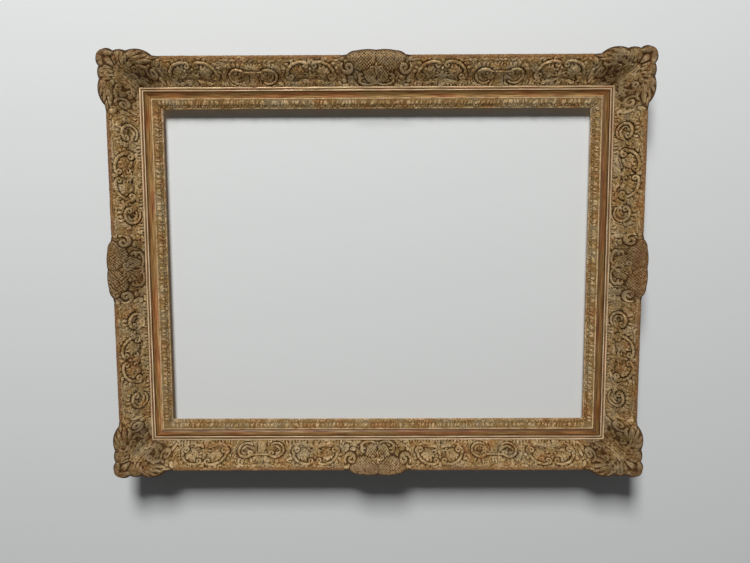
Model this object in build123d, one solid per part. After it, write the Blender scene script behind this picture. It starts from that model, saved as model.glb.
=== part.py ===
from build123d import *
import os
from math import cos, radians, sin

# Carved and gilded picture frame, built up from mitred rails, mouldings and glued-on carving.
# Millimetres. +X runs to the right, +Z up, the wall is the plane y = 0 and the front faces -Y.
# A section is drawn in (u, d): u outwards from the sight edge, d forwards from the wall.

# Sight opening and rebate
SIGHT_WIDTH = 712.0
SIGHT_HEIGHT = 528.0
SIGHT_EDGE_HEIGHT = 14.0
REBATE_LEDGE = 9.5
LIP_THICKNESS = 3.5
SHOULDER = 1.5

# Sight moulding
SIGHT_MOULDING_WIDTH = 16.0
SIGHT_LIP_WIDTH = 2.2
SIGHT_FILLET_WIDTH = 1.7
SIGHT_CREST = 21.0
SIGHT_QUIRK = 0.8
SIGHT_OVOLO_TILT = 65.0

# Hollow moulding with its bead and fillet
HOLLOW_MOULDING_WIDTH = 15.5
HOLLOW_START = 19.0
HOLLOW_LIP = 27.0
HOLLOW_SAG = 1.6
BEAD_WIDTH = 2.6
QUIRK_WIDTH = 1.2
QUIRK_DEPTH = 2.0
FILLET_WIDTH = 3.4
FILLET_CREST = 30.0

# Carved band
BAND_WIDTH = 40.5
BAND_INNER = 29.0
BAND_CREST = 64.0
BAND_NOSE = 5.5
BAND_NOSE_DROP = 4.0
BAND_TILT = 30.0
CARVING_RELIEF = 3.0

# Rail
SEAT_INNER = 22.0
SEAT_OUTER = 54.0
RAIL_INSET = 2.0
RAIL_SIDE = 12.0
RAIL_FOOT_INSET = 6.0
RAIL_FOOT_HEIGHT = 4.0
HOLLOW_SIDE_DEPTH = 5.5
BACK_RECESS = 4.5
BACK_RECESS_WIDTH = 30.5

# Scrolls of the runs
RING_RADIUS = 11.0
SCROLL_STROKE = 4.6
RING_ARC = 300.0
RING_PLACE = 0.38
HORIZONTAL_RINGS = (0.419, 0.579)
HORIZONTAL_PALMETTES = (0.18, 0.836)
VERTICAL_RINGS = (0.172, 0.87)
VERTICAL_PALMETTES = (0.521,)
PALMETTE_RADIUS = 12.5
PALMETTE_SPREAD = 21.0
PALMETTE_ARC = 215.0
PALMETTE_LEAF_LENGTH = 24.0
PALMETTE_LEAF_WIDTH = 9.0
PALMETTE_PLACE = 0.5

# Corner and centre cartouches
CARTOUCHE_RISE = 4.0
CARTOUCHE_UNDERCUT = 2.0
CORNER_ARM = 88.0
CORNER_REACH = 12.5
CORNER_TIP_REACH = 10.6
CORNER_TIP_LENGTH = 15.5
CORNER_LOBE_LENGTH = 20.0
CORNER_LOBE_REACH = 9.8
CORNER_LEAF_LENGTH = 41.0
CORNER_LEAF_REACH = 10.4
CORNER_NOTCH_REACH = 7.6
CENTRE_HALF = 56.0
CENTRE_REACH = 9.0
CENTRE_SHOULDER = 46.0
CENTRE_SHOULDER_REACH = 5.8
CENTRE_CROWN_HALF = 31.0
CENTRE_CROWN_REACH = 7.8
CENTRE_NOTCH_REACH = 6.8
SHELL_PETAL_LENGTH = 25.0
SHELL_PETAL_WIDTH = 7.5
SHELL_PETAL_STEP = 28.0
SHELL_PETALS = 5
VOLUTE_RADIUS = 7.0
VOLUTE_ARC = 270.0
CENTRE_VOLUTE_SPREAD = 43.0
CORNER_VOLUTE_SPREAD = 34.0

# Bow-tie keys across the mitres
KEY_LENGTH = 28.0
KEY_END = 12.0
KEY_WAIST = 6.5
KEY_THICKNESS = 6.0
KEY_PLACE = 50.0

# Hangers
STRAP_WIDTH = 12.0
STRAP_LENGTH = 32.0
STRAP_THICKNESS = 1.0
RING_WIRE = 2.4
RING_CLEARANCE = 0.07
RING_SLACK = 1.25
RING_BEND = 3.0
RING_SIDE = 3.0
KNUCKLE_LIFT = 0.18
HANGER_PLACE = 25.0
HANGER_HEIGHT = 165.0
HANGER_SCREW_DROPS = (10.0, 24.0)

# Turn buttons
BUTTON_REACH = 17.0
BUTTON_TAIL = 5.0
BUTTON_WIDTH = 10.0
BUTTON_THICKNESS = 1.2
BUTTON_PLACE = 20.0
BUTTON_LIFT = 0.3
BUTTON_FRACTION = 0.28
HEAD_GAP = 0.3

# Screws
SCREW_RADIUS = 1.6
SCREW_CLEARANCE = 0.05
SCREW_DEPTH = 6.0
HEAD_RADIUS = 3.0
HEAD_HEIGHT = 1.4

# Derived places on the section
BAND_START = SIGHT_MOULDING_WIDTH + HOLLOW_MOULDING_WIDTH
MOULDING_WIDTH = BAND_START + BAND_WIDTH
LEDGE = SIGHT_EDGE_HEIGHT - LIP_THICKNESS
BED = LEDGE + SHOULDER
RAIL_OUTER = MOULDING_WIDTH - RAIL_INSET
FOOT = MOULDING_WIDTH - RAIL_FOOT_INSET
RECESS_END = REBATE_LEDGE + BACK_RECESS_WIDTH
FRONT = 2 * BAND_CREST
REACH = 2 * MOULDING_WIDTH
CORNER_END = CORNER_ARM - MOULDING_WIDTH
WIRE = RING_WIRE / 2
RING_HALF = STRAP_WIDTH / 2 + RING_SLACK + RING_BEND
KNUCKLE = WIRE + RING_CLEARANCE + STRAP_THICKNESS
KNUCKLE_AXIS = KNUCKLE + KNUCKLE_LIFT

# Each side is made as the top one and turned about Y to its place.
SIDES = {
    "top": (SIGHT_WIDTH, SIGHT_HEIGHT, 0),
    "right": (SIGHT_HEIGHT, SIGHT_WIDTH, 90),
    "bottom": (SIGHT_WIDTH, SIGHT_HEIGHT, 180),
    "left": (SIGHT_HEIGHT, SIGHT_WIDTH, 270),
}
CORNERS = {
    "top_right": (1, 1, 0),
    "bottom_right": (1, -1, 90),
    "bottom_left": (-1, -1, 180),
    "top_left": (-1, 1, 270),
}


def turned(shape, angle):
    return shape.rotate(Axis.Y, angle)


def direction(angle):
    return cos(radians(angle)), sin(radians(angle))


def along_rail(section, across, start, end):
    """Run a (u, d) section along X at the top side of an opening of height `across`."""
    place = Plane(origin=(start, 0, across / 2), x_dir=(0, 0, 1), z_dir=(1, 0, 0))
    return extrude(place * section, amount=end - start, dir=(1, 0, 0))


def through(plan):
    """Run a plan drawn in (x, z) forwards from the wall past the front of the carving."""
    return extrude(Plane.XZ * plan, amount=FRONT, dir=(0, -1, 0))


def mitred(section, along, across):
    inside = min(along, across) / 4
    outer_x, outer_z = along / 2 + REACH, across / 2 + REACH
    inner_x, inner_z = along / 2 - inside, across / 2 - inside
    plan = make_face(Polyline((-outer_x, outer_z), (outer_x, outer_z), (inner_x, inner_z), (-inner_x, inner_z),
                              close=True))
    return along_rail(section, across, -outer_x, outer_x) & through(plan)


# Sections
def rail_section():
    side_foot = (FOOT, RAIL_FOOT_HEIGHT)
    side_head = (RAIL_OUTER, SEAT_OUTER - RAIL_SIDE)
    front = Polyline((FOOT, 0), (RECESS_END, 0), (RECESS_END, BACK_RECESS), (REBATE_LEDGE, BACK_RECESS),
                     (REBATE_LEDGE, BED), (BAND_START, BED), (BAND_START, SEAT_INNER), (RAIL_OUTER, SEAT_OUTER),
                     side_head)
    return make_face([front, SagittaArc(side_head, side_foot, -HOLLOW_SIDE_DEPTH), Line(side_foot, (FOOT, 0))])


def sight_section():
    crest_start = (SIGHT_LIP_WIDTH, SIGHT_EDGE_HEIGHT)
    crest_end = (SIGHT_MOULDING_WIDTH - SIGHT_FILLET_WIDTH, SIGHT_CREST - SIGHT_QUIRK)
    ovolo = TangentArc(crest_start, crest_end, tangent=direction(SIGHT_OVOLO_TILT))
    rest = Polyline(crest_end, (crest_end[0], SIGHT_CREST), (SIGHT_MOULDING_WIDTH, SIGHT_CREST),
                    (SIGHT_MOULDING_WIDTH, BED), (REBATE_LEDGE, BED), (REBATE_LEDGE, LEDGE), (0, LEDGE),
                    (0, SIGHT_EDGE_HEIGHT), crest_start)
    return make_face([ovolo, rest])


def hollow_section():
    fillet = BAND_START - FILLET_WIDTH
    bead_start, bead_end = (fillet - BEAD_WIDTH, HOLLOW_LIP), (fillet, HOLLOW_LIP)
    quirk = bead_start[0] - QUIRK_WIDTH
    hollow_end = (quirk, HOLLOW_LIP)
    hollow_start = (SIGHT_MOULDING_WIDTH, HOLLOW_START)
    return make_face([
        SagittaArc(hollow_start, hollow_end, -HOLLOW_SAG),
        Polyline(hollow_end, (quirk, HOLLOW_LIP - QUIRK_DEPTH), (bead_start[0], HOLLOW_LIP - QUIRK_DEPTH),
                 bead_start),
        SagittaArc(bead_start, bead_end, BEAD_WIDTH / 2),
        Polyline(bead_end, (fillet, FILLET_CREST), (BAND_START, FILLET_CREST), (BAND_START, BED),
                 (SIGHT_MOULDING_WIDTH, BED), hollow_start),
    ])


def band_section(rise, reach):
    """Ogee of the carved band: hollow at the inner edge, swelling to the nose at the outer edge."""
    nose = MOULDING_WIDTH + reach
    inner = Vector(BAND_START, BAND_INNER + rise)
    crest = Vector(nose - BAND_NOSE, BAND_CREST + rise)
    hollow = TangentArc(inner, (inner + crest) / 2, tangent=direction(BAND_TILT))
    swell = TangentArc(hollow @ 1, crest, tangent=hollow % 1)
    edge = (nose, BAND_CREST + rise - BAND_NOSE_DROP)
    roll = TangentArc(crest, edge, tangent=swell % 1)
    back = Polyline(edge, (RAIL_OUTER, SEAT_OUTER - CARTOUCHE_UNDERCUT), (RAIL_OUTER, SEAT_OUTER),
                    (BAND_START, SEAT_INNER), (BAND_START, BAND_INNER + rise))
    return make_face([hollow, swell, roll, back])


# Ornament, drawn in plan
def c_scroll(x, z, radius, opening, arc):
    """A C-shaped scroll round (x, z) with its opening towards the angle `opening`, a round eye at each end."""
    start = opening + (360 - arc) / 2
    path = CenterArc((x, z), radius, start, arc)
    scroll = SlotArc(path, SCROLL_STROKE)
    for end in (path @ 0, path @ 1):
        inwards = end + (Vector(x, z) - end) * (SCROLL_STROKE / 2 / radius)
        scroll += Pos(inwards.X, inwards.Y) * Circle(SCROLL_STROKE * 3 / 4)
    return scroll


def run_plan(along, across, places_of_rings, places_of_palmettes):
    """Scrolls of the run from the centre cartouche to the right-hand corner cartouche."""
    start, end = CENTRE_HALF, along / 2 - CORNER_END
    ring_z = across / 2 + BAND_START + BAND_WIDTH * RING_PLACE
    palmette_z = across / 2 + BAND_START + BAND_WIDTH * PALMETTE_PLACE
    plan = Sketch()
    for index, place in enumerate(places_of_rings):
        plan += c_scroll(start + (end - start) * place, ring_z, RING_RADIUS, 200 if index else -20, RING_ARC)
    for place in places_of_palmettes:
        x = start + (end - start) * place
        plan += c_scroll(x - PALMETTE_SPREAD, palmette_z, PALMETTE_RADIUS, -90, PALMETTE_ARC)
        plan += c_scroll(x + PALMETTE_SPREAD, palmette_z, PALMETTE_RADIUS, -90, PALMETTE_ARC)
        plan += Pos(x, palmette_z) * Ellipse(PALMETTE_LEAF_WIDTH / 2, PALMETTE_LEAF_LENGTH / 2)
    return plan


def shell_plan(x, z, facing):
    """Fan of petals that opens from (x, z) towards the angle `facing`."""
    plan = Sketch()
    for index in range(SHELL_PETALS):
        angle = facing + (index - (SHELL_PETALS - 1) / 2) * SHELL_PETAL_STEP
        plan += Pos(x, z) * Rot(0, 0, angle) * Pos(SHELL_PETAL_LENGTH / 2, 0) * Ellipse(
            SHELL_PETAL_LENGTH / 2, SHELL_PETAL_WIDTH / 2)
    return plan


def centre_outline():
    """Outline of the top centre cartouche, with z from the sight edge: two shells between rounded shoulders."""
    rim = MOULDING_WIDTH
    foot, crown = (CENTRE_SHOULDER, rim), (CENTRE_CROWN_HALF, rim + CENTRE_SHOULDER_REACH)
    notch = (0, rim + CENTRE_NOTCH_REACH)
    right = [
        TangentArc(foot, crown, tangent=(-1, 1)),
        ThreePointArc(crown, (CENTRE_CROWN_HALF / 2, rim + CENTRE_CROWN_REACH), notch),
    ]
    left = [arc.mirror(Plane.YZ) for arc in right]
    closing = Polyline((-CENTRE_SHOULDER, rim), (-CENTRE_HALF, rim), (-CENTRE_HALF, 0), (CENTRE_HALF, 0),
                       (CENTRE_HALF, rim), foot)
    return make_face([*right, *left, closing])


def corner_outline():
    """Outline of the top right corner cartouche, with the sight corner at the origin."""
    rim = MOULDING_WIDTH
    leaf_notch = (rim - CORNER_TIP_LENGTH - CORNER_LOBE_LENGTH, rim + CORNER_NOTCH_REACH)
    leaf_end = (leaf_notch[0] - CORNER_LEAF_LENGTH, rim)
    tip_notch = (rim - CORNER_TIP_LENGTH, rim + CORNER_NOTCH_REACH)
    tip = rim + CORNER_TIP_REACH
    arcs = [
        ThreePointArc(leaf_end, (leaf_notch[0] * 2 / 3 + leaf_end[0] / 3, rim + CORNER_LEAF_REACH), leaf_notch),
        ThreePointArc(leaf_notch, ((leaf_notch[0] + tip_notch[0]) / 2, rim + CORNER_LOBE_REACH), tip_notch),
        TangentArc(tip_notch, (rim, tip), tangent=(1, 1)),
    ]
    nose = TangentArc((rim, tip), (tip, rim), tangent=arcs[-1] % 1)
    mirrored = [arc.mirror(Plane(origin=(0, 0, 0), z_dir=(1, -1, 0))) for arc in arcs]
    closing = Polyline(leaf_end, (-CORNER_END, rim), (-CORNER_END, 0), (0, -CORNER_END), (rim, -CORNER_END),
                       leaf_end[::-1])
    return make_face([*arcs, nose, *mirrored, closing])


def centre_plan():
    base = BAND_START + BAND_WIDTH / 4
    plan = shell_plan(0, base, 90)
    volute_z = BAND_START + BAND_WIDTH * 2 / 3
    plan += c_scroll(CENTRE_VOLUTE_SPREAD, volute_z, VOLUTE_RADIUS, 240, VOLUTE_ARC)
    plan += c_scroll(-CENTRE_VOLUTE_SPREAD, volute_z, VOLUTE_RADIUS, -60, VOLUTE_ARC)
    return plan


def corner_plan():
    middle = BAND_START + BAND_WIDTH / 2
    plan = shell_plan(middle, middle, 45)
    aside = middle - CORNER_VOLUTE_SPREAD
    for x, z, opening in ((aside, middle, -45), (middle, aside, 135)):
        plan += c_scroll(x, z, VOLUTE_RADIUS, opening, VOLUTE_ARC)
    return plan


def centre_block(rise):
    block = along_rail(band_section(rise, CENTRE_REACH), 0, -CENTRE_HALF, CENTRE_HALF)
    return block & through(centre_outline())


def corner_block(rise):
    arm = along_rail(band_section(rise, CORNER_REACH), 0, -CORNER_END, REACH)
    arm &= through(make_face(Polyline((-REACH, -REACH), (REACH, REACH), (-REACH, REACH), close=True)))
    block = arm + mirror(arm, about=Plane(origin=(0, 0, 0), z_dir=(1, 0, -1)))
    return block & through(corner_outline())


# Hardware
def screw(x, y, z, under_head):
    """Round-head wood screw driven forwards from the back at y, its head `under_head` behind that face."""
    crown = (0, under_head + HEAD_HEIGHT)
    rim = (HEAD_RADIUS, under_head)
    shank = Polyline(crown, (0, -SCREW_DEPTH), (SCREW_RADIUS, -SCREW_DEPTH), (SCREW_RADIUS, under_head), rim)
    half = make_face([shank, TangentArc(crown, rim, tangent=(1, 0))])
    return Pos(x, y, z) * revolve(half, axis=Axis.Y)


def pilot(x, y, z):
    return Pos(x, y - SCREW_DEPTH, z) * Rot(-90, 0, 0) * Cylinder(
        SCREW_RADIUS + SCREW_CLEARANCE, SCREW_DEPTH, align=(Align.CENTER, Align.CENTER, Align.MIN))


def strap(x, z):
    back = -BACK_RECESS
    half = STRAP_WIDTH / 2
    foot = half - STRAP_LENGTH
    outline = make_face(Polyline((-half, 0), (half, 0), (half, foot), (-half, foot), close=True))
    outline += Pos(0, foot) * Circle(half)
    plate = extrude(Plane.XZ * outline, amount=STRAP_THICKNESS, dir=(0, 1, 0))
    knuckle = Pos(0, KNUCKLE_AXIS, 0) * Rot(0, 90, 0) * Cylinder(KNUCKLE, STRAP_WIDTH)
    bore = Pos(0, KNUCKLE_AXIS, 0) * Rot(0, 90, 0) * Cylinder(WIRE + RING_CLEARANCE, STRAP_WIDTH)
    body = plate + knuckle - bore
    for drop in HANGER_SCREW_DROPS:
        body -= Pos(0, 0, -drop) * Rot(-90, 0, 0) * Cylinder(SCREW_RADIUS + SCREW_CLEARANCE, 3 * STRAP_THICKNESS)
    return Pos(x, back, z) * body


def hanging_ring(x, z):
    """Wire ring hanging from its knuckle: straight bar, two short sides and a round bow."""
    bar = RING_HALF - RING_BEND
    foot = -RING_BEND - RING_SIDE
    path = Wire([
        Line((-bar, 0), (bar, 0)),
        TangentArc((bar, 0), (RING_HALF, -RING_BEND), tangent=(1, 0)),
        Line((RING_HALF, -RING_BEND), (RING_HALF, foot)),
        ThreePointArc((RING_HALF, foot), (0, foot - RING_HALF), (-RING_HALF, foot)),
        Line((-RING_HALF, foot), (-RING_HALF, -RING_BEND)),
        TangentArc((-RING_HALF, -RING_BEND), (-bar, 0), tangent=(0, 1)),
    ])
    wire = sweep(Plane(origin=(0, 0, 0), x_dir=(0, 1, 0), z_dir=(1, 0, 0)) * Circle(WIRE), path=path)
    return Pos(x, KNUCKLE_AXIS - BACK_RECESS, z) * Rot(90, 0, 0) * wire


def turn_button(along, across, share, heading):
    """Flat round-ended button on the top side, lying along the rail in the direction `heading`."""
    x, z = along * share, across / 2 + BUTTON_PLACE
    length = BUTTON_REACH + BUTTON_TAIL
    plan = Pos((BUTTON_REACH - BUTTON_TAIL) / 2 * heading, 0) * SlotOverall(length, BUTTON_WIDTH)
    plan -= Circle(SCREW_RADIUS + SCREW_CLEARANCE)
    plate = extrude(Plane.XZ * plan, amount=BUTTON_THICKNESS, dir=(0, 1, 0))
    return Pos(x, BUTTON_LIFT - BACK_RECESS, z) * plate


def key(reach_x, reach_z, angle):
    """Bow-tie key across a mitre, flush with the back."""
    half, end, waist = KEY_LENGTH / 2, KEY_END / 2, KEY_WAIST / 2
    bow = Polyline((-half, -end), (0, -waist), (half, -end), (half, end), (0, waist), (-half, end), close=True)
    plan = Pos(KEY_PLACE, KEY_PLACE) * Rot(0, 0, -45) * make_face(bow)
    block = extrude(Plane.XZ * plan, amount=KEY_THICKNESS, dir=(0, -1, 0))
    return Pos(reach_x, 0, reach_z) * turned(block, angle)


pieces = {}

hangers = {"left": -(SIGHT_WIDTH / 2 + HANGER_PLACE), "right": SIGHT_WIDTH / 2 + HANGER_PLACE}
buttons = {
    "top_left": ("top", -BUTTON_FRACTION, -1), "top_right": ("top", BUTTON_FRACTION, 1),
    "bottom_left": ("bottom", BUTTON_FRACTION, 1), "bottom_right": ("bottom", -BUTTON_FRACTION, -1),
    "left": ("left", 0, -1), "right": ("right", 0, 1),
}

for corner, (sign_x, sign_z, angle) in CORNERS.items():
    pieces[f"{corner}_mitre_key"] = key(sign_x * SIGHT_WIDTH / 2, sign_z * SIGHT_HEIGHT / 2, angle)

for side, (along, across, angle) in SIDES.items():
    rail = turned(mitred(rail_section(), along, across), angle)
    for corner in CORNERS:
        if side in corner:
            rail -= pieces[f"{corner}_mitre_key"]
    for home, share, heading in buttons.values():
        if home == side:
            rail -= turned(pilot(along * share, -BACK_RECESS, across / 2 + BUTTON_PLACE), angle)
    if side in hangers:
        for drop in HANGER_SCREW_DROPS:
            rail -= pilot(hangers[side], -BACK_RECESS, HANGER_HEIGHT - drop)
    pieces[f"{side}_rail"] = rail
    pieces[f"{side}_hollow_moulding"] = turned(mitred(hollow_section(), along, across), angle)
    pieces[f"{side}_sight_moulding"] = turned(mitred(sight_section(), along, across), angle)

    level = angle % 180 == 0
    rings = HORIZONTAL_RINGS if level else VERTICAL_RINGS
    palmettes = HORIZONTAL_PALMETTES if level else VERTICAL_PALMETTES
    start, end = CENTRE_HALF, along / 2 - CORNER_END
    relief = along_rail(band_section(CARVING_RELIEF, 0), across, start, end)
    run = along_rail(band_section(0, 0), across, start, end) + (
        relief & through(run_plan(along, across, rings, palmettes)))
    first, second = {"top": ("right", "left"), "right": ("lower", "upper"),
                     "bottom": ("left", "right"), "left": ("upper", "lower")}[side]
    pieces[f"{side}_{first}_carved_run"] = turned(run, angle)
    pieces[f"{side}_{second}_carved_run"] = turned(mirror(run, about=Plane.YZ), angle)

    centre = centre_block(CARTOUCHE_RISE) + (
        centre_block(CARTOUCHE_RISE + CARVING_RELIEF) & through(centre_plan()))
    pieces[f"{side}_centre_cartouche"] = turned(Pos(0, 0, across / 2) * centre, angle)

corner_piece = corner_block(CARTOUCHE_RISE) + (
    corner_block(CARTOUCHE_RISE + CARVING_RELIEF) & through(corner_plan()))
for corner, (sign_x, sign_z, angle) in CORNERS.items():
    pieces[f"{corner}_corner_cartouche"] = Pos(sign_x * SIGHT_WIDTH / 2, 0, sign_z * SIGHT_HEIGHT / 2) * turned(
        corner_piece, angle)

hanger_screws = []
for side, x in hangers.items():
    pieces[f"{side}_hanger_strap"] = strap(x, HANGER_HEIGHT)
    pieces[f"{side}_hanger_ring"] = hanging_ring(x, HANGER_HEIGHT)
    for drop in HANGER_SCREW_DROPS:
        hanger_screws.append(screw(x, -BACK_RECESS, HANGER_HEIGHT - drop, STRAP_THICKNESS))
pieces["hanger_screws"] = Compound(hanger_screws)

button_screws = []
for name, (side, share, heading) in buttons.items():
    along, across, angle = SIDES[side]
    pieces[f"{name}_turn_button"] = turned(turn_button(along, across, share, heading), angle)
    button_screws.append(turned(screw(along * share, -BACK_RECESS, across / 2 + BUTTON_PLACE,
                                      BUTTON_LIFT + BUTTON_THICKNESS + HEAD_GAP), angle))
pieces["turn_button_screws"] = Compound(button_screws)

os.makedirs("parts", exist_ok=True)
for name, piece in pieces.items():
    piece.label = name
    export_step(piece, f"parts/{name}.step")
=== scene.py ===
import math

import bpy
import numpy as np
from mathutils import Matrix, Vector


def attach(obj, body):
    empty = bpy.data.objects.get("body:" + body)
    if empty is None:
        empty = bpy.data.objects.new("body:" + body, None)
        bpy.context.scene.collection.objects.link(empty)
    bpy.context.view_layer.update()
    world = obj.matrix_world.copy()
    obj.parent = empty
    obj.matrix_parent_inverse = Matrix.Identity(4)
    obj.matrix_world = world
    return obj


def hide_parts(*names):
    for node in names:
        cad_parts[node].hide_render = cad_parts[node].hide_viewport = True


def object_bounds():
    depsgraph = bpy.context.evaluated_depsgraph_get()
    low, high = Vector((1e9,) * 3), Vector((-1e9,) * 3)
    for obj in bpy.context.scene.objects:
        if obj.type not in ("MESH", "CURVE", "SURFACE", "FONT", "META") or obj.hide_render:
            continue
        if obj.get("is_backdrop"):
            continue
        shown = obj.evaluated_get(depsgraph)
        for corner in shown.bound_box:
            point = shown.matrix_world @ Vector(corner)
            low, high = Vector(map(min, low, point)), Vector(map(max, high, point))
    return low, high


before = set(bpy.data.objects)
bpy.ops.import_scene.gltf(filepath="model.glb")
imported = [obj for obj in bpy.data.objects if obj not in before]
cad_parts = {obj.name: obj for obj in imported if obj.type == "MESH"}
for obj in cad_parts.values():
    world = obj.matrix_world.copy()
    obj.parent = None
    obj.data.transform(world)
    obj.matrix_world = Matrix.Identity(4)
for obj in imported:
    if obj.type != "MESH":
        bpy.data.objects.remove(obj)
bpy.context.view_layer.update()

# Rails
# Four softwood rails planed to a stepped section, mitred and glued. They carry the carving and stand on the
# wall with their outer lands. The back is bare and browned by age, and the outer sides are brushed with
# a brown size.

# Sizes are in millimetres.
MM = 0.001
SIGHT_WIDTH, SIGHT_HEIGHT = 712.0, 528.0
SIDES = {"top": (SIGHT_WIDTH, SIGHT_HEIGHT, 0), "right": (SIGHT_HEIGHT, SIGHT_WIDTH, 90),
         "bottom": (SIGHT_WIDTH, SIGHT_HEIGHT, 180), "left": (SIGHT_HEIGHT, SIGHT_WIDTH, 270)}
SIGHT_BAND, HOLLOW_BAND, CARVED_BAND = 16.0, 15.5, 40.5
BAND_START = SIGHT_BAND + HOLLOW_BAND
RIM = BAND_START + CARVED_BAND
LEDGE_WIDTH, BED = 9.5, 12.0
SEAT_INNER, SEAT_OUTER, RAIL_OUTER, FOOT = 22.0, 54.0, RIM - 2.0, RIM - 6.0
RECESS, RECESS_END = 4.5, 40.0
SIDE_TOP, SIDE_BOTTOM, SIDE_HEADING = SEAT_OUTER - 12.0, 4.0, -128
RAIL_EASE, RAIL_STEP, RAIL_CREASE = 0.9, 12.0, 30
SIZED_FROM, SIZED_ABOVE = FOOT - 8.0, 2.5
SWAY_PITCH = 55.0


def linear(code):
    """sRGB hex as linear red, green and blue with full alpha."""
    values = [int(code[i:i + 2], 16) / 255 for i in (1, 3, 5)]
    return [v / 12.92 if v <= 0.04045 else ((v + 0.055) / 1.055) ** 2.4 for v in values] + [1.0]


def add(tree, kind, settings=None, inputs=None, stops=()):
    """Adds a node of that kind, or takes the node of that name, and gives it its settings, inputs and stops.

    An input is a value, a hex colour, a socket, or a node whose first output in use is linked. The stops of
    a ramp are its lowest, its highest and then any between them, each a place and a hex colour."""
    node = tree.nodes.get(kind) or tree.nodes.new(kind)
    for key, value in (settings or {}).items():
        setattr(node, key, value)
    for key, value in (inputs or {}).items():
        named = [socket for socket in node.inputs if socket.enabled and socket.name == key]
        socket = named[0] if named else node.inputs[key]
        if isinstance(value, bpy.types.Node):
            value = next(output for output in value.outputs if output.enabled)
        if isinstance(value, bpy.types.NodeSocket):
            tree.links.new(value, socket)
        else:
            socket.default_value = linear(value) if isinstance(value, str) else value
    for index, (place, code) in enumerate(stops):
        ramp = node.color_ramp.elements
        stop = ramp[index] if index < 2 else ramp.new(place)
        stop.position, stop.color = place, linear(code)
    return node


def new_finish(name):
    """A new material and its node tree."""
    material = bpy.data.materials.new(name)
    material.use_nodes = True
    return material, material.node_tree


def per_metre(size):
    """Scale of a pattern whose features are that many millimetres across."""
    return 1000 / size


def on_side(side, s, u, d):
    """Metres of places s along one side, u outwards from the sight edge and d forwards from the wall."""
    _, across, turn = SIDES[side]
    x, z = s, across / 2 + u
    c, k = math.cos(math.radians(turn)), math.sin(math.radians(turn))
    return np.stack([x * c + z * k, -d + 0 * x, -x * k + z * c], -1) * MM


def arc(start, end, tangent, count):
    """Points of the circular arc from start to end that leaves start along tangent (degrees)."""
    (x0, y0), (x1, y1) = start, end
    heading = math.radians(tangent)
    chord = math.atan2(y1 - y0, x1 - x0)
    turn = 2 * ((chord - heading + math.pi) % (2 * math.pi) - math.pi)
    radius = math.hypot(x1 - x0, y1 - y0) / (2 * math.sin(turn / 2))
    k = heading + np.linspace(0, turn, count)
    return np.stack([x0 + radius * (np.sin(k) - math.sin(heading)),
                     y0 - radius * (np.cos(k) - math.cos(heading))], -1)


def eased(points, ease):
    """Closed section with its corners eased to a small round of that size; nearly straight ones are left."""
    longest_share, straight_sine = 0.45, 0.12
    points = np.asarray(points, float)
    out = []
    for before, corner, after in zip(np.roll(points, 1, 0), points, np.roll(points, -1, 0)):
        legs = before - corner, after - corner
        sizes = [np.hypot(*leg) for leg in legs]
        if abs(np.cross(*legs)) < straight_sine * sizes[0] * sizes[1]:
            out.append(corner)
            continue
        first, last = (corner + leg * (min(ease, size * longest_share) / max(size, 1e-9))
                       for leg, size in zip(legs, sizes))
        out += [first, first * 0.25 + corner * 0.5 + last * 0.25, last]
    return np.array(out)


def run_length(points):
    """Distance along a line of points from its start."""
    return np.concatenate([[0], np.cumsum(np.hypot(*np.diff(points, axis=0).T))])


def tube_faces(rows, columns):
    """Faces of a tube made of rows of points, each row closed on itself, and its two ends."""
    index = np.arange(rows * columns).reshape(rows, columns)
    right = np.roll(index, -1, 1)
    quads = np.stack([index[:-1], index[1:], right[1:], right[:-1]], -1).reshape(-1, 4)
    return [quads, index[:1], index[-1:, ::-1]]


def make_piece(name, material, verts, faces, fields, crease, uv=None):
    """Mesh object from points and faces, turned outwards, with point fields and perhaps a UV map."""
    verts = np.asarray(verts, float)
    volume = sum(np.einsum("ij,ij->i", verts[f[:, 0]], np.cross(verts[f[:, k]], verts[f[:, k + 1]])).sum()
                 for f in faces for k in range(1, f.shape[1] - 1))
    faces = [f[:, ::-1] if volume < 0 else f for f in faces]
    mesh = bpy.data.meshes.new(name)
    mesh.from_pydata(verts.tolist(), [], [row for f in faces for row in f.tolist()])
    if uv is not None:
        order = np.empty(len(mesh.loops), int)
        mesh.loops.foreach_get("vertex_index", order)
        mesh.uv_layers.new(name="lengthwise").data.foreach_set("uv", np.asarray(uv, float)[order].ravel())
    for key, values in fields.items():
        field = mesh.attributes.new(key, "FLOAT", "POINT")
        field.data.foreach_set("value", np.asarray(values, float).ravel())
    mesh.shade_smooth()
    mesh.set_sharp_from_angle(angle=math.radians(crease))
    mesh.materials.append(material)
    obj = bpy.data.objects.new(name, mesh)
    bpy.context.scene.collection.objects.link(obj)
    return obj


def fix_to_frame(piece, slot, *nodes):
    """Fixes a finished piece to the frame, in place of these CAD nodes if there are any. Its slot is not
    used.
    """
    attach(piece, "frame")
    if nodes:
        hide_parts(*nodes)


def wander(pitch, seed):
    """Smooth random line, about -1 to 1, that sways every pitch millimetres as a hand tool does."""
    rng = np.random.default_rng(seed)
    full_turn, usual_sum = 6.28, 2.2
    waves = [(rng.uniform(0.6, 1.6) / pitch, rng.uniform(0, full_turn), rng.uniform(0.5, 1))
             for _ in range(5)]
    return lambda s: sum(w * np.sin(full_turn * f * s + p) for f, p, w in waves) / usual_sum


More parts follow.
